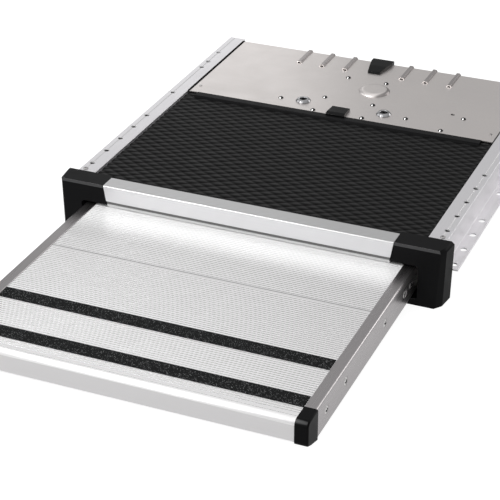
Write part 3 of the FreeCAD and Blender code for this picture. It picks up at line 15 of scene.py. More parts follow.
import bpy
import numpy as np
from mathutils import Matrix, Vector


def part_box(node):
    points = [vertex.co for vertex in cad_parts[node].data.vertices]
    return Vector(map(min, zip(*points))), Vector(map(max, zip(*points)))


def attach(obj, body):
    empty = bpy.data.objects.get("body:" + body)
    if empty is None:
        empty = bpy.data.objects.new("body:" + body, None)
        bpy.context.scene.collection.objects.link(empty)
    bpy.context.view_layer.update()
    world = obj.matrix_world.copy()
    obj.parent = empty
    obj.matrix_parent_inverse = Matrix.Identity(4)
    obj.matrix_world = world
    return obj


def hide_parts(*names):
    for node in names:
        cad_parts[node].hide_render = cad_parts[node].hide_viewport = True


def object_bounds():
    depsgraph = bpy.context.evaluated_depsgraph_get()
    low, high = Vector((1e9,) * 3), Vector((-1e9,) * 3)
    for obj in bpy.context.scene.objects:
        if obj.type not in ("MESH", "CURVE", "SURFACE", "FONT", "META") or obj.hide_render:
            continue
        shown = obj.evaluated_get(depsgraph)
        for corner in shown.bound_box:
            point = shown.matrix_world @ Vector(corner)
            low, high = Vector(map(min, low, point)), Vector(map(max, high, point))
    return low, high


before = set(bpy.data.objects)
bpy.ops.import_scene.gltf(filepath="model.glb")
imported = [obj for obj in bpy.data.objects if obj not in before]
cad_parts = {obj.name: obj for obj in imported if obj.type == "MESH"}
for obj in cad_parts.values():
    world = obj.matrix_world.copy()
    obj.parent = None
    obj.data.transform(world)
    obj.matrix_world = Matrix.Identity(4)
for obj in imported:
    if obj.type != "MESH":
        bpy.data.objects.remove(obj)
CAD_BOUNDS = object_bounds()

MM = 0.001
SIDES = ("_right", "_left")
Colour = tuple[float, float, float]
Group = bpy.types.NodeTree
Node = bpy.types.Node
Piece = bpy.types.Object
Socket = bpy.types.NodeSocket

logging.basicConfig(level=logging.INFO, format="%(message)s")
LOG = logging.getLogger("entry_step")


class Grain(Enum):
    """Direction in which a surface was drawn, rolled or brushed, as stretch factors."""

    ALONG_X = (0.012, 1.0, 1.0)
    ALONG_Y = (1.0, 0.012, 1.0)
    EVEN = (1.0, 1.0, 1.0)


class Side(Enum):
    """Directions that a surface can turn to, as unit vectors."""

    RIGHT = (1.0, 0.0, 0.0)
    LEFT = (-1.0, 0.0, 0.0)
    FRONT = (0.0, -1.0, 0.0)
    REAR = (0.0, 1.0, 0.0)
    UP = (0.0, 0.0, 1.0)
    FRONT_UP = (0.0, -0.707, 0.707)
    RIGHT_UP = (0.707, 0.0, 0.707)
    RIVET_GLINT = (-0.05, -0.6, 0.798)
    CAP_GLINT = (-0.25, -0.60, 0.76)


def grey(tone: float) -> Colour:
    """Give a plain grey."""
    return (tone, tone, tone)


# Shader helpers


class Tree:
    """A node tree with short ways to add nodes and join their sockets."""

    def __init__(self, tree: Group) -> None:
        """Wrap a material's, world's or group's tree."""
        self.tree = tree

    def add(self, kind: str, values: dict | None = None, **settings: object) -> Node:
        """Add a node.

        Args:
            kind: Blender's type name without its ShaderNode prefix.
            values: Constants or source sockets, by input name or index.
            settings: Properties of the node itself.

        Returns:
            The new node.
        """
        node = self.tree.nodes.new("ShaderNode" + kind)
        for name, value in settings.items():
            setattr(node, name, value)
        self.fill(node, values or {})
        return node

    def fill(self, node: Node, values: dict) -> None:
        """Feed a node's inputs, by name or index."""
        for name, value in values.items():
            self.feed(node.inputs[name], value)

    def feed(self, socket: Socket, value: object) -> None:
        """Set an input to a constant, or link a source socket to it.

        Args:
            socket: The input.
            value: A source socket, a number, a vector or a colour.
        """
        if isinstance(value, Socket):
            self.tree.links.new(value, socket)
        elif socket.type == "RGBA":
            socket.default_value = (*value, 1.0)
        else:
            socket.default_value = value

    def use(self, group: Group, values: dict) -> Sequence[Socket]:
        """Place a shared group with its own values, and give its outputs."""
        return self.add("Group", values, node_tree=group).outputs

    def blend(self, mask: object, first: object, second: object) -> Socket:
        """Mix two colours by a mask, 0 for the first and 1 for the second."""
        return self.add("Mix", {0: mask, 6: first, 7: second}, data_type="RGBA").outputs[2]

    def span(self, value: object, low: float, high: float) -> Socket:
        """Spread a 0 to 1 value over low to high."""
        return self.add("MapRange", {"Value": value, "To Min": low, "To Max": high}).outputs[0]

    def rise(self, value: object, low: object, high: object, top: float = 1.0,
             style: str = "SMOOTHSTEP") -> Socket:
        """Turn low to high into 0 to top, held level beyond them."""
        values = {"Value": value, "From Min": low, "From Max": high, "To Max": top}
        return self.add("MapRange", values, interpolation_type=style).outputs[0]

    def math(self, operation: str, first: object, second: object = 0.0) -> Socket:
        """Do one sum on two values or sockets."""
        return self.add("Math", {0: first, 1: second}, operation=operation).outputs[0]

    def times(self, *values: object) -> Socket:
        """Multiply two or more values or sockets."""
        return reduce(lambda first, second: self.math("MULTIPLY", first, second), values)

    def mix(self, first: Socket, second: Socket, share: float) -> Socket:
        """Mix two values, with the first one's share."""
        return self.math("ADD", self.times(first, share), self.times(second, 1.0 - share))

    def below(self, value: object, limit: float) -> Socket:
        """Mask where a value lies below a limit."""
        return self.math("LESS_THAN", value, limit)

    def above(self, value: object, limit: object) -> Socket:
        """Mask where a value lies above a limit."""
        return self.math("GREATER_THAN", value, limit)

    def away(self, value: object, middle: float) -> Socket:
        """Distance of a value from a middle one."""
        return self.math("ABSOLUTE", self.math("SUBTRACT", value, middle))

    def noise(self, place: Socket, scale: object, detail: float, roughness: float = 0.5,
              distortion: float = 0.0) -> Socket:
        """Add soft noise at a place."""
        return self.add("TexNoise", {"Vector": place, "Scale": scale, "Detail": detail,
                                     "Roughness": roughness, "Distortion": distortion}).outputs[0]

    def place(self) -> Socket:
        """Place on the object, in metres."""
        return self.add("TexCoord").outputs["Object"]

    def axes(self, vector: Socket) -> Sequence[Socket]:
        """Break a vector up into X, Y and Z."""
        return self.add("SeparateXYZ", {0: vector}).outputs

    def upward(self, normal: str = "Normal") -> Socket:
        """Tell how far the surface's normal points up, -1 to 1."""
        return self.axes(self.add("NewGeometry").outputs[normal])[2]


class Effects:
    """Shader groups that the finishes share, each made once."""

    def __init__(self) -> None:
        """Make every group."""
        self.streaks = self._streaks()
        self.clouds = self._clouds()
        self.pebble = self._pebble()
        self.dust = self._dust()
        self.grit = self._grit()
        self.facing = self._facing()

    @staticmethod
    def _group(name: str, inputs: dict[str, float | tuple],
               *outputs: str) -> tuple[Tree, Sequence[Socket], Sequence[Socket]]:
        """Start a group with named sockets.

        Args:
            name: The group's name.
            inputs: Number or vector to start from, by input name.
            outputs: Names of the value outputs.

        Returns:
            The wrapped tree, its sources and the sockets that take its results.
        """
        group = bpy.data.node_groups.new(name, "ShaderNodeTree")
        for label, default in inputs.items():
            kind = "NodeSocketVector" if isinstance(default, tuple) else "NodeSocketFloat"
            socket = group.interface.new_socket(label, in_out="INPUT", socket_type=kind)
            socket.default_value = default
        for label in outputs:
            group.interface.new_socket(label, in_out="OUTPUT", socket_type="NodeSocketFloat")
        start = group.nodes.new("NodeGroupInput")
        end = group.nodes.new("NodeGroupOutput")
        return Tree(group), start.outputs, end.inputs

    def _streaks(self) -> Group:
        """Make the fine parallel streaks of drawn, rolled or brushed metal.

        Returns:
            The group.
        """
        tree, start, end = self._group(
            "Drawn Streaks", {"Stretch": (1.0, 1.0, 1.0), "Scale": 900.0}, "Height", "Tone")
        stretched = tree.add("VectorMath", {0: tree.place(), 1: start["Stretch"]},
                             operation="MULTIPLY").outputs[0]
        fine = tree.noise(stretched, start["Scale"], detail=3.0, roughness=0.6)
        broad = tree.noise(stretched, tree.times(start["Scale"], 0.13), detail=2.0)
        tree.feed(end["Height"], fine)
        tree.feed(end["Tone"], tree.rise(tree.mix(fine, broad, 0.5), 0.35, 0.65, style="LINEAR"))
        return tree.tree

    def _clouds(self) -> Group:
        """Make soft uneven patches, as on rolled sheet or handled surfaces.

        Returns:
            The group.
        """
        tree, start, end = self._group("Cloudy Patches", {"Scale": 20.0, "Contrast": 0.15}, "Mask")
        patches = tree.noise(tree.place(), start["Scale"], detail=4.0, roughness=0.55,
                             distortion=0.4)
        low = tree.math("SUBTRACT", 0.5, start["Contrast"])
        high = tree.math("ADD", 0.5, start["Contrast"])
        tree.feed(end["Mask"], tree.rise(patches, low, high))
        return tree.tree

    def _pebble(self) -> Group:
        """Make the fine spark-eroded grain of moulded plastic.

        Returns:
            The group.
        """
        tree, start, end = self._group("Moulded Grain", {"Scale": 1800.0}, "Height", "Tone")
        place = tree.place()
        soft = tree.noise(place, start["Scale"], detail=2.0, roughness=0.7)
        cells = tree.add("TexVoronoi", {"Vector": place, "Scale": start["Scale"]})
        tree.feed(end["Height"], tree.math("ADD", soft, tree.times(cells.outputs[0], 0.4)))
        tree.feed(end["Tone"], soft)
        return tree.tree

    def _dust(self) -> Group:
        """Make the faint dust that settles on faces that look up.

        Returns:
            The group.
        """
        tree, start, end = self._group("Settled Dust", {"Amount": 0.1, "Scale": 60.0}, "Mask")
        facing = tree.rise(tree.upward(), 0.5, 1.0, style="LINEAR")
        specks = tree.noise(tree.place(), start["Scale"], detail=5.0, roughness=0.7)
        patch = tree.rise(specks, 0.42, 0.7, style="LINEAR")
        tree.feed(end["Mask"], tree.times(facing, patch, start["Amount"]))
        return tree.tree

    def _facing(self) -> Group:
        """Make the mask of how far a surface turns to a given side.

        Returns:
            The group.
        """
        tree, start, end = self._group(
            "Turned Towards", {"Side": Side.UP.value, "From": 0.5, "To": 1.0}, "Mask")
        normal = tree.add("NewGeometry").outputs["Normal"]
        turned = tree.add("VectorMath", {0: normal, 1: start["Side"]}, operation="DOT_PRODUCT")
        tree.feed(end["Mask"], tree.rise(turned.outputs["Value"], start["From"], start["To"]))
        return tree.tree

    def _grit(self) -> Group:
        """Make mineral grains bedded in resin, a few of which catch the light.

        Returns:
            The group.
        """
        tree, start, end = self._group(
            "Mineral Grit", {"Scale": 900.0, "Sparkle": 0.1}, "Height", "Spark", "Tone")
        cells = tree.add("TexVoronoi", {"Vector": tree.place(), "Scale": start["Scale"]}).outputs
        pick = tree.add("SeparateColor", {0: cells["Color"]}).outputs
        limit = tree.math("SUBTRACT", 1.0, start["Sparkle"])
        near = tree.math("SUBTRACT", 1.0, cells["Distance"])
        tree.feed(end["Spark"], tree.above(pick[0], limit))
        tree.feed(end["Tone"], pick[1])
        tree.feed(end["Height"], tree.times(near, pick[2]))
        return tree.tree


class Coat(Tree):
    """A new material's tree, with its shader and the shared effects at hand."""

    def __init__(self, name: str, effects: Effects | None = None) -> None:
        """Make a material that holds only a Principled shader and its output.

        Args:
            name: The material's name.
            effects: The shared shader groups, where the material uses them.
        """
        self.material = bpy.data.materials.new(name)
        self.material.use_nodes = True
        super().__init__(self.material.node_tree)
        self.tree.nodes.clear()
        self.effects = effects
        self.shader = self.add("BsdfPrincipled")
        self.add("OutputMaterial", {"Surface": self.shader.outputs[0]})

    def shade(self, values: dict, height: Socket | None = None) -> None:
        """Feed the shader, and raise its surface by a height in millimetres.

        Args:
            values: Constants or source sockets, by the shader's input name.
            height: The height, where the surface isn't plain.
        """
        self.fill(self.shader, values)
        if height is not None:
            made = self.add("Bump", {"Height": height, "Strength": 1.0, "Distance": MM})
            self.feed(self.shader.inputs["Normal"], made.outputs[0])


# Finishes


@dataclass(frozen=True)
class PaintedLight:
    """Painted light or shade: colour that a finish takes where it turns to one side.

    It starts where the normal's share of that side is `start`, and is full at `full`.
    """

    colour: Colour
    side: Side
    start: float
    full: float


class Finish:
    """A surface finish that makes its material once."""

    name: str
    painted_lights: tuple[PaintedLight, ...] = ()
    _made: dict[str, bpy.types.Material] = {}

    def material(self, effects: Effects) -> bpy.types.Material:
        """Give the finish's material, making it the first time.

        Args:
            effects: The shared shader groups.

        Returns:
            The material.
        """
        if self.name not in Finish._made:
            coat = Coat(self.name, effects)
            self.wire(coat)
            Finish._made[self.name] = coat.material
        return Finish._made[self.name]

    def wire(self, coat: Coat) -> None:
        """Feed the shader; each kind of finish has its own way."""
        raise NotImplementedError

    def lay_painted_light(self, coat: Coat, tone: Socket) -> Socket:
        """Lay the finish's painted light and shade over a tone.

        Args:
            coat: The material under way.
            tone: The tone without painted light and shade.

        Returns:
            The colour's socket, with painted light and shade.
        """
        for tint in self.painted_lights:
            values = {"Side": tint.side.value, "From": tint.start, "To": tint.full}
            tone = coat.blend(coat.use(coat.effects.facing, values)["Mask"], tone, tint.colour)
        return tone


@dataclass(frozen=True)
class Metal(Finish):
    """Bare, rolled, drawn or anodised metal."""

    # Pale tone of the painted light along the beam and on the hole walls.
    PALE = grey(0.90)
    PALE_METALLIC = 0.1
    BAND_TOP = 0.85
    BORE_REACH = 5.0 * MM
    BORE_SPAN = (-6.0 * MM, -0.05 * MM)
    WALL_TILT = 0.2
    CREST_HEIGHT = 1.5 * MM
    CREST_START = 240.0 * MM
    CREST_TILT = 0.9
    SEAM_CORE = 0.8 * MM
    SEAM_REACH = 5.2 * MM
    SEAM_SHADE = 0.14

    name: str
    colour: Colour
    shade: Colour
    roughness: tuple[float, float]
    grain: Grain = Grain.EVEN
    grain_scale: float = 900.0
    grain_depth: float = 0.02
    cloud_scale: float = 14.0
    cloud_contrast: float = 0.16
    cloud_share: float = 0.5
    wave_depth: float = 0.0
    metallic: float = 1.0
    groove: Colour | None = None
    groove_floor: float = 0.0
    groove_tilt: tuple[float, float] = (0.3, 0.9)
    seam: float | None = None
    glow_span: tuple[float, float] | None = None
    bore_line: float | None = None
    paling: float = 1.0
    crest: Colour | None = None
    painted_lights: tuple[PaintedLight, ...] = ()

    def wire(self, coat: Coat) -> None:
        """Mix two tones by soft patches and streaks, and drive roughness and bump by them.

        Args:
            coat: The material under way.
        """
        streaks = coat.use(coat.effects.streaks,
                           {"Stretch": self.grain.value, "Scale": self.grain_scale})
        clouds = coat.use(coat.effects.clouds,
                          {"Scale": self.cloud_scale, "Contrast": self.cloud_contrast})["Mask"]
        mask = coat.mix(clouds, streaks["Tone"], self.cloud_share)
        # Painted light and shade by how each face turns.
        tone = self.lay_painted_light(coat, coat.blend(mask, self.colour, self.shade))
        metallic = self.metallic
        if self.groove:
            # Painted shade on the sloping channel walls and along the seam.
            tone = coat.blend(self.groove_shade_mask(coat), tone, self.groove)
        if self.crest:
            # Painted shade on the flat tops of the swages.
            tone = coat.blend(self.crest_shade_mask(coat), tone, self.crest)
        # Painted light: pale, less metallic colour along the beam and on the hole walls.
        if self.glow_span or self.bore_line:
            painted_pale = self.painted_glow_band(coat) if self.glow_span else self.bores(coat)
            tone = coat.blend(coat.times(painted_pale, self.paling), tone, self.PALE)
            metallic = coat.span(painted_pale, self.metallic, self.PALE_METALLIC)
        height = coat.times(streaks["Height"], self.grain_depth)
        if self.wave_depth:
            height = coat.math("ADD", height, coat.times(clouds, self.wave_depth))
        coat.shade({"Base Color": tone, "Metallic": metallic,
                    "Roughness": coat.span(mask, *self.roughness)}, height)

    def painted_glow_band(self, tree: Tree) -> Socket:
        """Mask the strip of painted light along the beam, paler and less metallic, fading to the
        front.
        """
        return tree.rise(tree.axes(tree.place())["Y"], *self.glow_span, top=self.BAND_TOP)

    def bores(self, tree: Tree) -> Socket:
        """Mask the walls of the holes along the bore line, which are painted pale and less
        metallic: painted light in the holes.

        Args:
            tree: The material's tree.

        Returns:
            The mask.
        """
        x, _, z = tree.axes(tree.place())
        off = tree.away(tree.math("ABSOLUTE", x), self.bore_line)
        wall = tree.below(tree.math("ABSOLUTE", tree.upward("True Normal")), self.WALL_TILT)
        low, high = self.BORE_SPAN
        return tree.times(tree.below(off, self.BORE_REACH), wall, tree.below(z, high),
                          tree.above(z, low))

    def crest_shade_mask(self, tree: Tree) -> Socket:
        """Mask the flat tops of the swages near the rear edge, which take painted shade."""
        _, y, z = tree.axes(tree.place())
        return tree.times(tree.above(z, self.CREST_HEIGHT), tree.above(y, self.CREST_START),
                          tree.above(tree.upward(), self.CREST_TILT))

    def groove_shade_mask(self, tree: Tree) -> Socket:
        """Mask the sloping channel walls above the channel floor, and the seam, for painted shade.

        Args:
            tree: The material's tree.

        Returns:
            The mask.
        """
        _, y, z = tree.axes(tree.place())
        tilt = tree.upward("True Normal")
        steep, shallow = self.groove_tilt
        mask = tree.times(tree.below(tilt, shallow), tree.above(tilt, steep),
                          tree.above(z, self.groove_floor))
        if self.seam is not None:
            away = tree.away(y, self.seam)
            halo = tree.times(tree.below(away, self.SEAM_REACH), self.SEAM_SHADE)
            seam = tree.math("MAXIMUM", tree.below(away, self.SEAM_CORE), halo)
            mask = tree.math("MAXIMUM", mask, seam)
        return mask


@dataclass(frozen=True)
class Plastic(Finish):
    """Moulded plastic or rubber with a fine grain and a little settled dust."""

    COAT_ROUGHNESS = 0.08
    DUST_SCALE = 70.0
    CLOUDS = {"Scale": 30.0, "Contrast": 0.2}
    CLOUD_SHARE = 0.6

    name: str
    colour: Colour
    dust: Colour
    roughness: tuple[float, float]
    grain_scale: float = 1800.0
    grain_depth: float = 0.02
    dust_amount: float = 0.15
    clear_coat: float = 0.0
    level: float = 0.2
    painted_lights: tuple[PaintedLight, ...] = ()

    def wire(self, coat: Coat) -> None:
        """Tint by dust, lay painted light and shade on slopes, and drive roughness and bump by the
        moulded grain.

        Args:
            coat: The material under way.
        """
        effects = coat.effects
        pebble = coat.use(effects.pebble, {"Scale": self.grain_scale})
        dust = coat.use(effects.dust, {"Amount": self.dust_amount, "Scale": self.DUST_SCALE})
        clouds = coat.use(effects.clouds, self.CLOUDS)
        body = coat.blend(dust["Mask"], self.colour, self.dust)
        tone = coat.mix(clouds["Mask"], pebble["Tone"], self.CLOUD_SHARE)
        coat.shade({"Base Color": self.lay_painted_light(coat, body),
                    "Roughness": coat.span(tone, *self.roughness),
                    "Specular IOR Level": self.level, "Coat Weight": self.clear_coat,
                    "Coat Roughness": self.COAT_ROUGHNESS},
                   coat.times(pebble["Height"], self.grain_depth))


@dataclass(frozen=True)
class Grit(Finish):
    """Anti-slip tape: dark resin full of mineral grains with a few bright facets."""

    ROUGHNESS = (0.75, 0.3)
    LEVEL = 0.07

    name: str
    colour: Colour
    grain: Colour
    spark: Colour
    scale: float = 900.0
    sparkle: float = 0.09
    depth: float = 0.35

    def wire(self, coat: Coat) -> None:
        """Colour each grain by its own tone, and light up the few that spark.

        Args:
            coat: The material under way.
        """
        grit = coat.use(coat.effects.grit, {"Scale": self.scale, "Sparkle": self.sparkle})
        body = coat.blend(grit["Tone"], self.colour, self.grain)
        coat.shade({"Base Color": coat.blend(grit["Spark"], body, self.spark),
                    "Roughness": coat.span(grit["Spark"], *self.ROUGHNESS),
                    "Specular IOR Level": self.LEVEL}, coat.times(grit["Height"], self.depth))


@dataclass(frozen=True)
class Finishes:
    """Every finish on the step, by what it covers."""

    effects: Effects
    tread: Metal = Metal(
        "anodised_tread", (0.98, 0.97, 0.975), (0.93, 0.92, 0.925), (0.32, 0.42), Grain.ALONG_X,
        # Painted shade on the rib channel walls and along the seam between the planks.
        1400.0, 0.006, 9.0, 0.2, 0.6, metallic=0.8, groove=grey(0.25), groove_floor=-31.95 * MM,
        # Painted light: a pale strip along the beam, fading to the front.
        seam=-475.3 * MM, glow_span=(-425.0 * MM, -352.0 * MM), paling=0.8,
        # Painted shade: faces that look straight to the front are darker.
        painted_lights=(PaintedLight((0.74, 0.73, 0.735), Side.FRONT, 0.97, 0.99),))
    beam: Metal = Metal(
        "anodised_beam", (0.76, 0.76, 0.77), (0.73, 0.73, 0.74), (0.28, 0.36), Grain.ALONG_X,
        1600.0, 0.003, 12.0, 0.2, 0.5, metallic=0.85,
        # Painted shade: the top is darker, and the front top edge is darkened to tone down its
        # highlight.
        painted_lights=(PaintedLight((0.60, 0.60, 0.605), Side.UP, 0.9, 0.98),
               PaintedLight(grey(0.56), Side.FRONT_UP, 0.8, 0.92)))
    rail: Metal = Metal(
        "anodised_rail", (0.81, 0.80, 0.82), (0.75, 0.74, 0.76), (0.34, 0.44), Grain.ALONG_Y,
        # Painted shade toning down the bright flange channel.
        1200.0, 0.006, 10.0, 0.2, 0.4, metallic=0.85, groove=grey(0.66), groove_floor=-0.6 * MM,
        # Painted light on the hole walls along the bore line.
        groove_tilt=(0.87, 0.91), bore_line=301.0 * MM)
    member: Metal = Metal(
        "drawn_stainless", (0.44, 0.421, 0.425), (0.39, 0.374, 0.379), (0.24, 0.34), Grain.ALONG_Y,
        1500.0, 0.002, 11.0, 0.3, 0.25,
        # Painted light: the sides are lighter, with a painted highlight on edges that turn up and
        # to the right.
        painted_lights=(PaintedLight((0.53, 0.507, 0.512), Side.RIGHT, 0.9, 0.97),
               PaintedLight((0.53, 0.507, 0.512), Side.LEFT, 0.9, 0.97),
               PaintedLight((0.64, 0.62, 0.62), Side.RIGHT_UP, 0.93, 0.99)))
    sheet: Metal = Metal(
        "rolled_stainless", (0.79, 0.75, 0.735), (0.74, 0.703, 0.685), (0.32, 0.40), Grain.ALONG_X,
        # Painted shade on the swage tops and on slopes facing right; painted light on slopes
        # facing left.
        500.0, 0.002, 14.0, 0.25, 0.8, wave_depth=0.004, crest=(0.44, 0.415, 0.41),
        painted_lights=(PaintedLight((0.30, 0.28, 0.275), Side.RIGHT, 0.15, 0.4),
               PaintedLight((0.62, 0.59, 0.58), Side.LEFT, 0.15, 0.4)))
    zinc: Metal = Metal(
        "zinc_plate", (0.60, 0.61, 0.62), (0.50, 0.51, 0.53), (0.34, 0.52), Grain.EVEN, 300.0,
        0.02, 40.0, 0.14, 0.8)
    cast: Metal = Metal(
        "cast_aluminium", (0.60, 0.60, 0.61), (0.50, 0.50, 0.51), (0.45, 0.6), Grain.EVEN, 700.0,
        0.12, 30.0, 0.2, 0.4)
    turned: Metal = Metal(
        "bright_steel", (0.40, 0.40, 0.41), (0.30, 0.30, 0.31), (0.08, 0.14), Grain.EVEN, 900.0,
        0.001, 50.0, 0.2, 0.5)
    # Painted reflection: near-black domes with a painted highlight on the side facing the camera.
    rivet: Metal = Metal(
        "rivet_painted_reflection", grey(0.018), grey(0.012), (0.05, 0.09), Grain.EVEN, 900.0, 0.001, 80.0,
        0.2, 0.6,
        painted_lights=(PaintedLight(grey(0.95), Side.RIVET_GLINT, 0.94, 0.98),))
    screw: Metal = Metal(
        "screw_steel", (0.52, 0.51, 0.51), (0.38, 0.37, 0.37), (0.14, 0.26), Grain.EVEN, 900.0,
        0.004, 80.0, 0.2, 0.6)
    head: Metal = Metal(
        "polished_screw_head", (0.90, 0.89, 0.88), (0.78, 0.77, 0.76), (0.10, 0.18), Grain.EVEN,
        900.0, 0.002, 80.0, 0.2, 0.6)
    # Painted shade in the cross recess and round the rim of each screw head.
    recess: Metal = Metal(
        "painted_recess_shade", grey(0.020), grey(0.010), (0.3, 0.4), Grain.EVEN, 900.0, 0.004, 80.0, 0.2,
        0.6)
    corner: Plastic = Plastic(
        "moulded_corner_cap", (0.0062, 0.0062, 0.0066), grey(0.02), (0.34, 0.44), 2400.0, 0.004,
        0.05, level=0.05,
        # Painted highlight along the front top edge.
        painted_lights=(PaintedLight((0.34, 0.34, 0.345), Side.FRONT_UP, 0.85, 0.91),))
    cap: Plastic = Plastic(
        "satin_black_cap", (0.0030, 0.0030, 0.0033), grey(0.02), (0.30, 0.40), 2400.0, 0.006, 0.04,
        level=0.06,
        # Painted highlight on faces that turn front, up and a little left.
        painted_lights=(PaintedLight((0.07, 0.07, 0.071), Side.CAP_GLINT, 0.90, 0.99),))
    cover: Plastic = Plastic(
        "moulded_cover", (0.011, 0.011, 0.0112), grey(0.04), (0.42, 0.54), 1500.0, 0.01, 0.04,
        level=0.05,
        # Painted highlight on slopes that face the rear, painted shade on slopes that face the
        # front.
        painted_lights=(PaintedLight((0.026, 0.026, 0.0265), Side.REAR, 0.03, 0.14),
               PaintedLight(grey(0.0015), Side.FRONT, -0.05, 0.3)))
    trim: Plastic = Plastic(
        "satin_black_trim", (0.005, 0.005, 0.0055), grey(0.03), (0.38, 0.5), 2000.0, 0.006, 0.06,
        level=0.08)
    gloss: Plastic = Plastic(
        "gloss_black", (0.003, 0.003, 0.0033), grey(0.02), (0.14, 0.2), 1500.0, 0.001, 0.04,
        level=0.09)
    rubber: Plastic = Plastic(
        "black_rubber", grey(0.014), grey(0.07), (0.6, 0.75), 900.0, 0.05, 0.15)
    # Painted shade: grey holder for the shadow line under the beam.
    holder: Plastic = Plastic("holder_painted_shade", grey(0.16), grey(0.2), (0.5, 0.6), 1500.0, 0.01, 0.05)
    # Painted shade: the black strip along the left rail's edge.
    shade_strip: Plastic = Plastic(
        "black_shade_strip", grey(0.0025), grey(0.02), (0.6, 0.7), 1500.0, 0.01, 0.05, level=0.05)
    glide: Plastic = Plastic(
        "pale_glide", (0.62, 0.61, 0.57), (0.5, 0.49, 0.46), (0.4, 0.5), 1600.0, 0.01, 0.2,
        level=0.5)
    # Painted light: pale bristles for the lit tread under the beam.
    brush: Plastic = Plastic(
        "brush_painted_light", grey(0.70), grey(0.6), (0.5, 0.6), 1200.0, 0.01, 0.05, level=0.3)
    motor: Plastic = Plastic(
        "black_enamel", (0.016, 0.016, 0.018), grey(0.07), (0.28, 0.38), 1100.0, 0.01, 0.12,
        clear_coat=0.3)
    tape: Grit = Grit(
        "grip_tape", (0.003, 0.0035, 0.0035), (0.014, 0.0145, 0.015), (0.30, 0.305, 0.31), 1700.0,
        0.033, 0.3)


# Mesh helpers


class Meshes:
    """Ways to turn points and rules into mesh objects."""

    @staticmethod
    def piece(name: str, vertices: Sequence, faces: Sequence, smooth: bool = True) -> Piece:
        """Make an object from points and faces.

        Args:
            name: The piece's name.
            vertices: Points in the row frame.
            faces: Corner numbers of each face.
            smooth: Whether its faces are shaded smooth.

        Returns:
            The new object, linked to the scene.
        """
        mesh = bpy.data.meshes.new(name)
        mesh.from_pydata([tuple(v) for v in vertices], [], [tuple(f) for f in faces])
        mesh.validate()
        mesh.polygons.foreach_set("use_smooth", [smooth] * len(mesh.polygons))
        mesh.update()
        made = bpy.data.objects.new(name, mesh)
        bpy.context.scene.collection.objects.link(made)
        return made

    @staticmethod
    def slab(name: str, xs: np.ndarray, ys: np.ndarray, top: np.ndarray,
             floor: float) -> Piece:
        """Make a closed slab with a shaped top.

        Args:
            name: The piece's name.
            xs: X of each grid point, rows by columns.
            ys: Y of each grid point, rows by columns.
            top: Z of each grid point, rows by columns.
            floor: Z of the flat underside.

        Returns:
            The new object.
        """
        rows, columns = top.shape
        upper = np.stack([xs, ys, top], axis=-1).reshape(-1, 3)
        index = np.arange(rows * columns).reshape(rows, columns)
        corners = [index[:-1, :-1], index[:-1, 1:], index[1:, 1:], index[1:, :-1]]
        faces = np.stack(corners, axis=-1).reshape(-1, 4).tolist()
        rim = np.concatenate([index[0, :], index[1:, -1], index[-1, -2::-1], index[-2:0:-1, 0]])
        lower = upper[rim].copy()
        lower[:, 2] = floor
        base = rows * columns
        count = len(rim)
        for i in range(count):
            after = (i + 1) % count
            faces.append([int(rim[after]), int(rim[i]), base + i, base + after])
        faces.append([base + i for i in range(count)][::-1])
        made = Meshes.piece(name, np.concatenate([upper, lower]), faces)
        for polygon in list(made.data.polygons)[-(count + 1):]:
            polygon.use_smooth = False
        return made

    @staticmethod
    def join(name: str, parts: Iterable[tuple[np.ndarray, list]]) -> Piece:
        """Join several point and face lists into one piece.

        Args:
            name: The piece's name.
            parts: Points and faces of each part.

        Returns:
            The new object.
        """
        vertices: list = []
        faces: list = []
        for points, loops in parts:
            start = len(vertices)
            vertices += list(points)
            faces += [[start + i for i in loop] for loop in loops]
        return Meshes.piece(name, vertices, faces)


@dataclass
class Assembly:
    """A part of the step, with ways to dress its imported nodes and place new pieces."""

    finishes: Finishes
    weld_reach: float = 0.01 * MM
    sharp_angle: float = math.radians(35.0)

    def node(self, name: str, finish: Finish, edge: float = 0.0, segments: int = 2) -> None:
        """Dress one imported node.

        Args:
            name: The node's name.
            finish: Its finish.
            edge: Width of its softened edges in metres, or 0 for none.
            segments: Facets across a softened edge.
        """
        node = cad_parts[name]
        node.data.materials.clear()
        node.data.materials.append(finish.material(self.finishes.effects))
        if edge:
            weld = node.modifiers.new("weld", "WELD")
            weld.merge_threshold = self.weld_reach
            bevel = node.modifiers.new("soft_edges", "BEVEL")
            bevel.width = edge
            bevel.segments = segments
            bevel.limit_method = "ANGLE"
            bevel.angle_limit = self.sharp_angle
            bevel.harden_normals = True
            bevel.miter_outer = "MITER_ARC"
        LOG.info("dressed %s as %s", name, finish.name)

    def nodes(self, names: Iterable[str], finish: Finish, edge: float = 0.0,
              segments: int = 2) -> None:
        """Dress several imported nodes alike; see node for the arguments."""
        for name in names:
            self.node(name, finish, edge, segments)

    def pair(self, stem: str, finish: Finish, edge: float = 0.0, segments: int = 2) -> None:
        """Dress a right and left node; see node for the arguments."""
        self.nodes([stem + side for side in SIDES], finish, edge, segments)

    def place(self, piece: Piece, finish: Finish, body: str, slot: str,
              *replaced: str) -> None:
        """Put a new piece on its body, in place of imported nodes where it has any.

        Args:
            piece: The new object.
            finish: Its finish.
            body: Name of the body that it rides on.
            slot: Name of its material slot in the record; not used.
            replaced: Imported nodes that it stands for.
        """
        piece.data.materials.append(finish.material(self.finishes.effects))
        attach(piece, body)
        if replaced:
            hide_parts(*replaced)
        LOG.info("built %s on %s", piece.name, body)

    def build(self) -> None:
        """Dress and build what the assembly holds; each has its own way."""
        raise NotImplementedError

    def hold(self, *kinds: type["Assembly"]) -> None:
        """Build smaller assemblies with the same finishes."""
        for kind in kinds:
            kind(self.finishes).build()


# Sub-assemblies


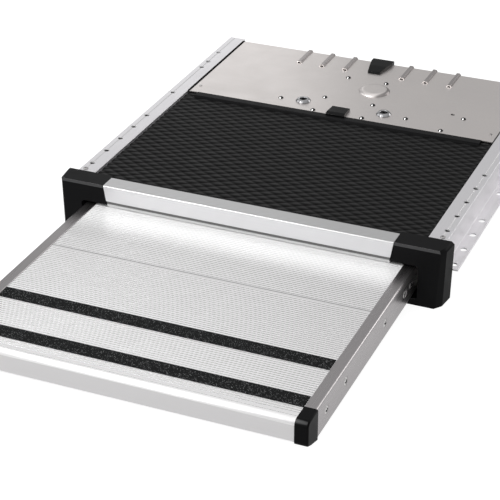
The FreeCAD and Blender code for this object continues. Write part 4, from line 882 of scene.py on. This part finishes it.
@dataclass
class CoverSkin(Assembly):
    """Moulded cover whose top is tiled with low leaning scales."""

    scale_width: float = 28.05 * MM
    scale_length: float = 16.6 * MM
    columns: int = 21
    lines: tuple[int, int] = (-2, 46)
    front_margin: float = 12.7 * MM
    rise: float = 1.3 * MM
    crest: float = 0.26
    roundness: float = 1.4
    flank: float = 1.8
    fullness: float = 0.8
    across: int = 6
    along: int = 5

    def scale_height(self, u: np.ndarray, s: np.ndarray) -> np.ndarray:
        """Height of a scale's surface, from 0 at its rim to 1 at its crest.

        Args:
            u: Place across the scale, -1 to 1.
            s: Place from the scale's front rim, 0, to its rear rim, 1.

        Returns:
            The height, 0 to 1.
        """
        climb = np.clip(s / self.crest, 0.0, 1.0)
        fall = np.clip((s - self.crest) / (1.0 - self.crest), 0.0, 1.0)
        profile = np.where(s < self.crest, np.sin(climb * math.pi / 2), np.cos(fall * math.pi / 2))
        return profile * (1.0 - np.abs(u) ** self.flank) ** self.fullness

    def heights(self, x: np.ndarray, y: np.ndarray) -> np.ndarray:
        """Height of the tiled surface, 0 to 1.

        Args:
            x: X from the cover's middle.
            y: Y from the front row's centres.

        Returns:
            The height at each point.
        """
        half_width = self.scale_width / 2
        half_length = self.scale_length / 2
        best = np.zeros_like(x)
        row = np.floor(y / half_length)
        for step in (0, 1):
            line = row + step
            count = self.columns - np.mod(line, 2)
            column = np.round(x / self.scale_width + (count - 1) / 2)
            u = (x - (column - (count - 1) / 2) * self.scale_width) / half_width
            v = (y - line * half_length) / half_length
            room = 1.0 - np.abs(u) ** self.roundness
            inside = (np.abs(v) < room) & (line >= self.lines[0]) & (line <= self.lines[1])
            inside &= (column >= 0) & (column < count)
            s = (v + room) / np.maximum(2 * room, 1e-6)
            best = np.where(inside, np.maximum(best, self.scale_height(u, s)), best)
        return best

    def build(self) -> None:
        """Make the skin and put it in the plain cover's place."""
        low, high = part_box("cover_panel")
        step_x = self.scale_width / 2 / self.across
        step_y = self.scale_length / 2 / self.along
        middle = low.y + self.front_margin
        reach = math.floor(high.x / step_x)
        first = math.ceil((low.y - middle) / step_y)
        last = math.floor((high.y - middle) / step_y)
        line_x = np.concatenate([[low.x], np.arange(-reach, reach + 1) * step_x, [high.x]])
        line_y = np.concatenate([[low.y], middle + np.arange(first, last + 1) * step_y, [high.y]])
        xs, ys = np.meshgrid(line_x, line_y)
        top = high.z - self.rise + self.rise * self.heights(xs, ys - middle)
        skin = Meshes.slab("cover_skin", xs, ys, top, low.z)
        self.place(skin, self.finishes.cover, "cassette", "cover_plastic", "cover_panel")


@dataclass
class BrushSeal(Assembly):
    """Brush strip in a grey holder under the beam that wipes the tread as it slides in. The grey
    holder also stands in for the shadow line under the beam (painted shade), and the pale bristles
    for the lit tread below it (painted light).
    """

    half_length: float = 236.0 * MM
    front: float = -332.6 * MM
    depth: float = 3.0 * MM
    top: float = -21.0 * MM
    joint: float = -25.2 * MM
    tip: float = -30.2 * MM
    lip_height: float = 0.8 * MM
    lip_proud: float = 0.3 * MM
    holder_stations: int = 60
    setback: float = 0.5 * MM
    bristle: float = 0.8 * MM
    relief: float = 0.3 * MM
    taper: float = 0.1 * MM

    def strip(self, name: str, count: int, rows: Sequence) -> Piece:
        """Make a closed strip along the doorway from its outline.

        Args:
            name: The piece's name.
            count: Number of stations along it.
            rows: For each corner of the outline, Y at every station and the height.

        Returns:
            The new object.
        """
        line = np.linspace(-self.half_length, self.half_length, count)
        points = [(x, y, z) for ys, z in rows for x, y in zip(line, ys)]
        faces = []
        for row in range(len(rows)):
            here, after = row * count, (row + 1) % len(rows) * count
            faces += [[here + i, after + i, after + i + 1, here + i + 1] for i in range(count - 1)]
        for column, turn in ((0, 1), (count - 1, -1)):
            faces.append([row * count + column for row in range(len(rows))][::turn])
        return Meshes.piece(name, points, faces, smooth=False)

    def build(self) -> None:
        """Make the holder, then the ridged rows of bristles that hang from it."""
        rear = self.front + self.depth
        lip = self.joint + self.lip_height
        proud = self.front - self.lip_proud
        outline = ((self.front, self.top), (self.front, lip), (proud, lip),
                   (proud, self.joint), (rear, self.joint), (rear, self.top))
        holder = self.strip("brush_holder", self.holder_stations,
                            [(np.full(self.holder_stations, y), z) for y, z in outline])
        self.place(holder, self.finishes.holder, "cassette", "trim_plastic")
        count = 2 * int(self.half_length / self.bristle) + 1
        wave = np.where(np.arange(count) % 2, self.relief, 0.0)
        near, far = self.front + self.setback + wave, rear - self.setback - wave
        bristles = self.strip("brush_bristles", count,
                              [(near, self.joint), (near + self.taper, self.tip),
                               (far - self.taper, self.tip), (far, self.joint)])
        self.place(bristles, self.finishes.brush, "cassette", "glide_plastic")


@dataclass
class EdgeShadeStrip(Assembly):
    """Low black strip along the gap between the left rail and the rear plate: painted shade for
    the shadow there.
    """

    outer: float = 281.2 * MM
    width: float = 4.9 * MM
    lift: float = 0.1 * MM
    height: float = 0.7 * MM
    depth: float = 1.5 * MM
    foot: tuple[float, float] = (1.2 * MM, 2.2 * MM)
    end: float = 2.0 * MM
    segments: int = 8

    def build(self) -> None:
        """Draw the strip's crowned section along the plate."""
        low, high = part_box("rear_plate")
        angles = [math.pi * i / self.segments for i in range(self.segments + 1)]
        middle, half = self.width / 2 - self.outer, self.width / 2
        section = [(middle + half * math.cos(a), self.lift + self.height * math.sin(a))
                   for a in angles]
        section += [(middle - half + inset, -self.depth) for inset in self.foot]
        count = len(section)
        points = [(x, y, z) for y in (low.y + self.end, high.y - self.end) for x, z in section]
        faces = [[i, (i + 1) % count, count + (i + 1) % count, count + i] for i in range(count)]
        faces += [list(range(count))[::-1], list(range(count, 2 * count))]
        strip = Meshes.piece("edge_shade_strip", points, faces, smooth=False)
        self.place(strip, self.finishes.shade_strip, "cassette", "belt_rubber")


@dataclass
class GripTapes(Assembly):
    """Two strips of grit tape across the front tread, with slightly ragged edges."""

    grain: float = 0.9 * MM
    relief: float = 0.16 * MM
    raggedness: float = 0.35 * MM
    ragged_span: tuple[float, float] = (-1.0, 0.4)
    seed: int = 11

    def strip(self, name: str, node: str) -> None:
        """Make one strip in its plain solid's place.

        Args:
            name: The new piece's name.
            node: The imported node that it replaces.
        """
        rng = random.Random(self.seed + len(name))
        low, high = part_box(node)
        columns = int((high.x - low.x) / self.grain)
        rows = int((high.y - low.y) / self.grain)
        xs, ys = np.meshgrid(np.linspace(low.x, high.x, columns),
                             np.linspace(low.y, high.y, rows))
        noise = np.array([[rng.random() for _ in range(columns)] for _ in range(rows)])
        shift = np.array([rng.uniform(*self.ragged_span) for _ in range(2 * columns)])
        ys[0, :] -= shift[:columns] * self.raggedness
        ys[-1, :] += shift[columns:] * self.raggedness
        tape = Meshes.slab(name, xs, ys, high.z - self.relief * noise, low.z)
        self.place(tape, self.finishes.tape, "tray", "grip_tape", node)

    def build(self) -> None:
        """Make both strips."""
        for place in ("front", "rear"):
            self.strip("grit_strip_" + place, "grip_tape_" + place)


@dataclass
class CrossScrews(Assembly):
    """Pan-head screws with a cross recess, along both side members."""

    head_radius: float = 6.0 * MM
    head_height: float = 1.5 * MM
    head_fall: float = 0.75
    rim_start: float = 0.98
    rim_height: float = 0.35
    recess_depth: float = 1.3 * MM
    recess_reach: float = 4.2 * MM
    recess_width: float = 1.05 * MM
    recess_climb: float = 0.6
    shank_radius: float = 2.4 * MM
    shank_length: float = 34.0 * MM
    shade_depth: float = 0.2 * MM
    rings: int = 16
    spokes: int = 72
    seed: int = 5
    positions: tuple[float, ...] = (10.0, 39.5, 129.0, 293.0, 367.0)
    beam_front: float = -333.8 * MM
    line: float = -53.7 * MM
    seat: float = 273.8 * MM

    def head(self, turn: float) -> tuple[np.ndarray, list]:
        """Points and faces of one screw whose head looks along +X from the origin.

        Args:
            turn: Angle of the cross recess in radians.

        Returns:
            The points and the faces.
        """
        count = self.spokes
        angles = [2 * math.pi * i / count for i in range(count)]
        points = [[self.surface(0.0, 0.0), 0.0, 0.0]]
        for ring in range(1, self.rings + 1):
            radius = self.head_radius * (ring / self.rings)
            points += [[self.surface(radius * math.cos(angle - turn),
                                     radius * math.sin(angle - turn)),
                        radius * math.cos(angle), radius * math.sin(angle)] for angle in angles]
        for depth, radius in ((0.0, self.head_radius), (0.0, self.shank_radius),
                              (-self.shank_length, self.shank_radius)):
            points += [[depth, radius * math.cos(angle), radius * math.sin(angle)]
                       for angle in angles]
        faces = [[0, 1 + i, 1 + (i + 1) % count] for i in range(count)]
        last = 1 + (self.rings + 2) * count
        for inner in range(1, last, count):
            outer = inner + count
            faces += [[inner + i, outer + i, outer + (i + 1) % count, inner + (i + 1) % count]
                      for i in range(count)]
        faces.append([last + i for i in range(count)])
        return np.array(points), faces

    def dome(self, radius: float) -> float:
        """Height of the plain domed head at a radius."""
        reach = min(1.0, radius / self.head_radius)
        return self.head_height * math.sqrt(max(0.0, 1.0 - self.head_fall * reach * reach))

    def surface(self, a: float, b: float) -> float:
        """Height of the head above its seat.

        Args:
            a: Distance from the axis along one arm of the cross.
            b: Distance from the axis along the other arm.

        Returns:
            The height.
        """
        radius = math.hypot(a, b)
        height = self.dome(radius)
        if radius / self.head_radius > self.rim_start:
            height = self.head_height * self.rim_height
        long_way, short_way = max(abs(a), abs(b)), min(abs(a), abs(b))
        if long_way < self.recess_reach and short_way < self.recess_width:
            climb = self.recess_climb * long_way / self.recess_reach
            height -= self.recess_depth * (1.0 - climb)
        return height

    def sunk(self, points: np.ndarray, faces: list) -> list[bool]:
        """Tell which faces lie well below the dome: the recess and the rim.

        Args:
            points: One screw's points, before it is set in place.
            faces: Its faces.

        Returns:
            One answer for each face.
        """
        found = []
        for face in faces:
            height = points[face].mean(axis=0)[0]
            radius = float(np.hypot(points[face][:, 1], points[face][:, 2]).mean())
            found.append(self.dome(radius) - height > self.shade_depth)
        return found

    def build(self) -> None:
        """Set the screws in both side members."""
        rng = random.Random(self.seed)
        half_turn = np.array([[-1, 0, 0], [0, -1, 0], [0, 0, 1]])
        parts = []
        dark: list[bool] = []
        for position in self.positions:
            for side in (1.0, -1.0):
                points, faces = self.head(rng.uniform(0.0, math.pi / 2))
                dark += self.sunk(points, faces)
                if side < 0:
                    points = points @ half_turn
                shift = [side * self.seat, self.beam_front - position * MM, self.line]
                parts.append((points + np.array(shift), faces))
        screws = Meshes.join("cross_screws", parts)
        self.place(screws, self.finishes.head, "tray", "bright_steel", "member_screws")
        # Faces sunk well below the dome, the cross recess and the rim, take painted shade.
        screws.data.materials.append(self.finishes.recess.material(self.finishes.effects))
        for polygon, deep in zip(screws.data.polygons, dark):
            polygon.material_index = int(deep)


@dataclass
class Tray(Assembly):
    """The sliding tray: two planks between stainless members, with caps, tapes and screws."""

    plank_edge: float = 0.25 * MM
    cap_edge: float = 0.5 * MM
    end_edge: float = 1.8 * MM

    def build(self) -> None:
        """Dress the tray's nodes and add its detailed pieces."""
        finishes = self.finishes
        self.nodes(("tread_front", "tread_rear"), finishes.tread, self.plank_edge)
        self.pair("side_member", finishes.member)
        self.pair("end_cap", finishes.cap, self.end_edge, 4)
        self.pair("rear_glide", finishes.glide, self.cap_edge)
        self.nodes(("drive_bracket", "belt_clamp"), finishes.zinc, self.plank_edge)
        self.node("drive_screws", finishes.screw)
        self.node("sensor_magnet", finishes.trim, self.cap_edge)
        self.hold(GripTapes, CrossScrews)


@dataclass
class Cassette(Assembly):
    """The fixed frame: beam, corner caps, side rails, cover, rear plate and their fixings."""

    cap_edge: float = 0.9 * MM
    bar_edge: float = 0.5 * MM
    sheet_edge: float = 0.3 * MM

    def build(self) -> None:
        """Add the cassette's detailed pieces and dress its nodes."""
        finishes = self.finishes
        self.hold(CoverSkin, BrushSeal, EdgeShadeStrip)
        self.node("front_beam", finishes.beam)
        self.pair("corner_cap", finishes.corner, self.cap_edge, 3)
        self.pair("side_rail", finishes.rail)
        self.nodes(("cover_bar", "cable_gland"), finishes.trim, self.bar_edge)
        self.nodes(("bar_clip", "edge_cap"), finishes.gloss, self.bar_edge, 3)
        self.node("rear_plate", finishes.sheet)
        self.node("plate_rivets", finishes.rivet)
        self.node("fixing_collars", finishes.turned)
        self.nodes(("corner_rivets", "corner_screws"), finishes.screw)
        self.nodes(("front_tie", "motor_guard", "sensor_bracket", "motor_bracket",
                    "idler_bracket"), finishes.zinc, self.sheet_edge)
        self.pair("doubler_plate", finishes.zinc, self.sheet_edge)
        self.pair("corner_bracket", finishes.cast, self.bar_edge)
        self.pair("front_glide", finishes.glide, self.sheet_edge)
        self.pair("travel_stop", finishes.glide, self.bar_edge)
        self.pair("rear_bumper", finishes.rubber, self.bar_edge)
        self.nodes(("frame_screws", "idler_screws"), finishes.screw)


@dataclass
class DriveTrain(Assembly):
    """The hidden drive: gearmotor, belt, pulleys and end sensor."""

    edge: float = 0.4 * MM

    def build(self) -> None:
        """Dress the drive's nodes."""
        finishes = self.finishes
        self.nodes(("gearbox_housing", "drive_pulley", "idler_pulley"), finishes.cast)
        self.node("gearbox_cover", finishes.trim, self.edge)
        self.nodes(("gearbox_cover_screws", "gearbox_screws", "output_shaft", "shaft_nut",
                    "idler_pin"), finishes.screw)
        self.node("motor_can", finishes.motor, self.edge)
        self.nodes(("motor_end", "end_sensor"), finishes.trim, self.edge)
        self.node("drive_belt", finishes.rubber, self.edge)


# Studio


@dataclass(frozen=True)
class Panel:
    """A soft light panel that faces the aim point; its angles are in degrees."""

    name: str
    azimuth: float
    elevation: float
    distance: float
    width: float
    height: float
    power: float
    colour: Colour = grey(1.0)


@dataclass
class Studio:
    """Plain pale floor, soft lights and the camera."""

    aim: tuple[float, float, float] = (0.01347, -0.34095, -0.05159)
    azimuth: float = 22.81
    elevation: float = 28.91
    distance: float = 2.63747
    lens: float = 123.2
    sensor: float = 36.0
    floor_reach: float = 9.0
    floor_tones: tuple[float, float] = (0.25, 0.27)
    floor_mottle: float = 3.0
    floor_glow: float = 0.9
    floor_mirrored: float = 0.46
    room_tones: tuple[tuple[float, float], ...] = (
        (0.0, 0.34), (0.45, 0.44), (0.7, 0.70), (1.0, 1.0))
    panels: tuple[Panel, ...] = (
        Panel("overhead", -35.0, 56.0, 2.6, 2.4, 1.5, 13.0),
        Panel("key", -42.0, 50.0, 2.6, 0.55, 0.55, 15.0),
        Panel("front", -20.0, 24.0, 3.0, 2.4, 1.4, 16.0),
        Panel("back_right", 149.0, 20.0, 3.2, 1.8, 0.9, 10.0, (1.0, 0.97, 0.97)),
        Panel("left_fill", -95.0, 30.0, 3.0, 1.6, 1.4, 8.0),
        Panel("back_left", 209.0, 17.0, 2.2, 0.9, 0.6, 1.1),
    )

    def stand(self, name: str, data: bpy.types.ID, azimuth: float, elevation: float,
              distance: float) -> Piece:
        """Stand a camera or light up so that it faces the aim point.

        Args:
            name: The new object's name.
            data: Its camera or light data.
            azimuth: Degrees round the step, 0 in front of it and 90 at its right.
            elevation: Degrees above the horizon.
            distance: Distance from the aim point.

        Returns:
            The new object.
        """
        turn, lift = math.radians(azimuth), math.radians(elevation)
        out = Vector((math.sin(turn) * math.cos(lift), -math.cos(turn) * math.cos(lift),
                      math.sin(lift)))
        made = bpy.data.objects.new(name, data)
        bpy.context.scene.collection.objects.link(made)
        made.location = Vector(self.aim) + out * distance
        made.rotation_mode = "QUATERNION"
        made.rotation_quaternion = (-out).to_track_quat("-Z", "Y")
        return made

    def floor(self) -> None:
        """Lay the pale floor under the lowest point of the step."""
        level, reach = CAD_BOUNDS[0].z, self.floor_reach
        corners = [(-reach, -reach, level), (reach, -reach, level), (reach, reach, level),
                   (-reach, reach, level)]
        floor = Meshes.piece("studio_floor", corners, [(0, 1, 2, 3)], smooth=False)
        coat = Coat("pale_floor")
        mottle = coat.noise(coat.place(), self.floor_mottle, detail=2.0)
        seen = coat.add("LightPath").outputs["Is Camera Ray"]
        coat.shade({"Base Color": coat.blend(mottle, *map(grey, self.floor_tones)),
                    "Roughness": 0.9, "Specular IOR Level": 0.1, "Emission Color": grey(1.0),
                    "Emission Strength": coat.span(seen, self.floor_mirrored, self.floor_glow)})
        floor.data.materials.append(coat.material)

    def room(self) -> None:
        """Give the room round the step a soft rise from a grey horizon to a pale ceiling."""
        world = bpy.data.worlds.new("studio_room")
        world.use_nodes = True
        world.node_tree.nodes.clear()
        tree = Tree(world.node_tree)
        height = tree.axes(tree.add("TexCoord").outputs["Generated"])[2]
        ramp = tree.add("ValToRGB", {0: height})
        stops = ramp.color_ramp.elements
        while len(stops) < len(self.room_tones):
            stops.new(0.5)
        for stop, (place, tone) in zip(stops, self.room_tones):
            stop.position = place
            stop.color = (*grey(tone), 1.0)
        background = tree.add("Background", {"Color": ramp.outputs[0], "Strength": 1.0})
        tree.add("OutputWorld", {"Surface": background.outputs[0]})
        bpy.context.scene.world = world

    def lights(self) -> None:
        """Hang the soft panels, which the camera doesn't see."""
        for panel in self.panels:
            data = bpy.data.lights.new(panel.name, "AREA")
            data.shape = "RECTANGLE"
            data.size = panel.width
            data.size_y = panel.height
            data.energy = panel.power
            data.color = panel.colour
            light = self.stand(panel.name, data, panel.azimuth, panel.elevation, panel.distance)
            light.visible_camera = False

    def camera(self) -> None:
        """Set the camera where the photograph was taken from."""
        data = bpy.data.cameras.new("camera")
        data.lens = self.lens
        data.sensor_width = self.sensor
        bpy.context.scene.camera = self.stand("camera", data, self.azimuth, self.elevation,
                                              self.distance)

    def build(self) -> None:
        """Set up the floor, room, lights, camera and plain view."""
        self.floor()
        self.room()
        self.lights()
        self.camera()
        bpy.context.scene.view_settings.view_transform = "Standard"


def main() -> None:
    """Dress the cassette, the tray and the drive, and set up the studio."""
    finishes = Finishes(Effects())
    for kind in (Cassette, Tray, DriveTrain):
        kind(finishes).build()
        LOG.info("finished %s", kind.__name__)
    Studio().build()


if __name__ == "__main__":
    main()
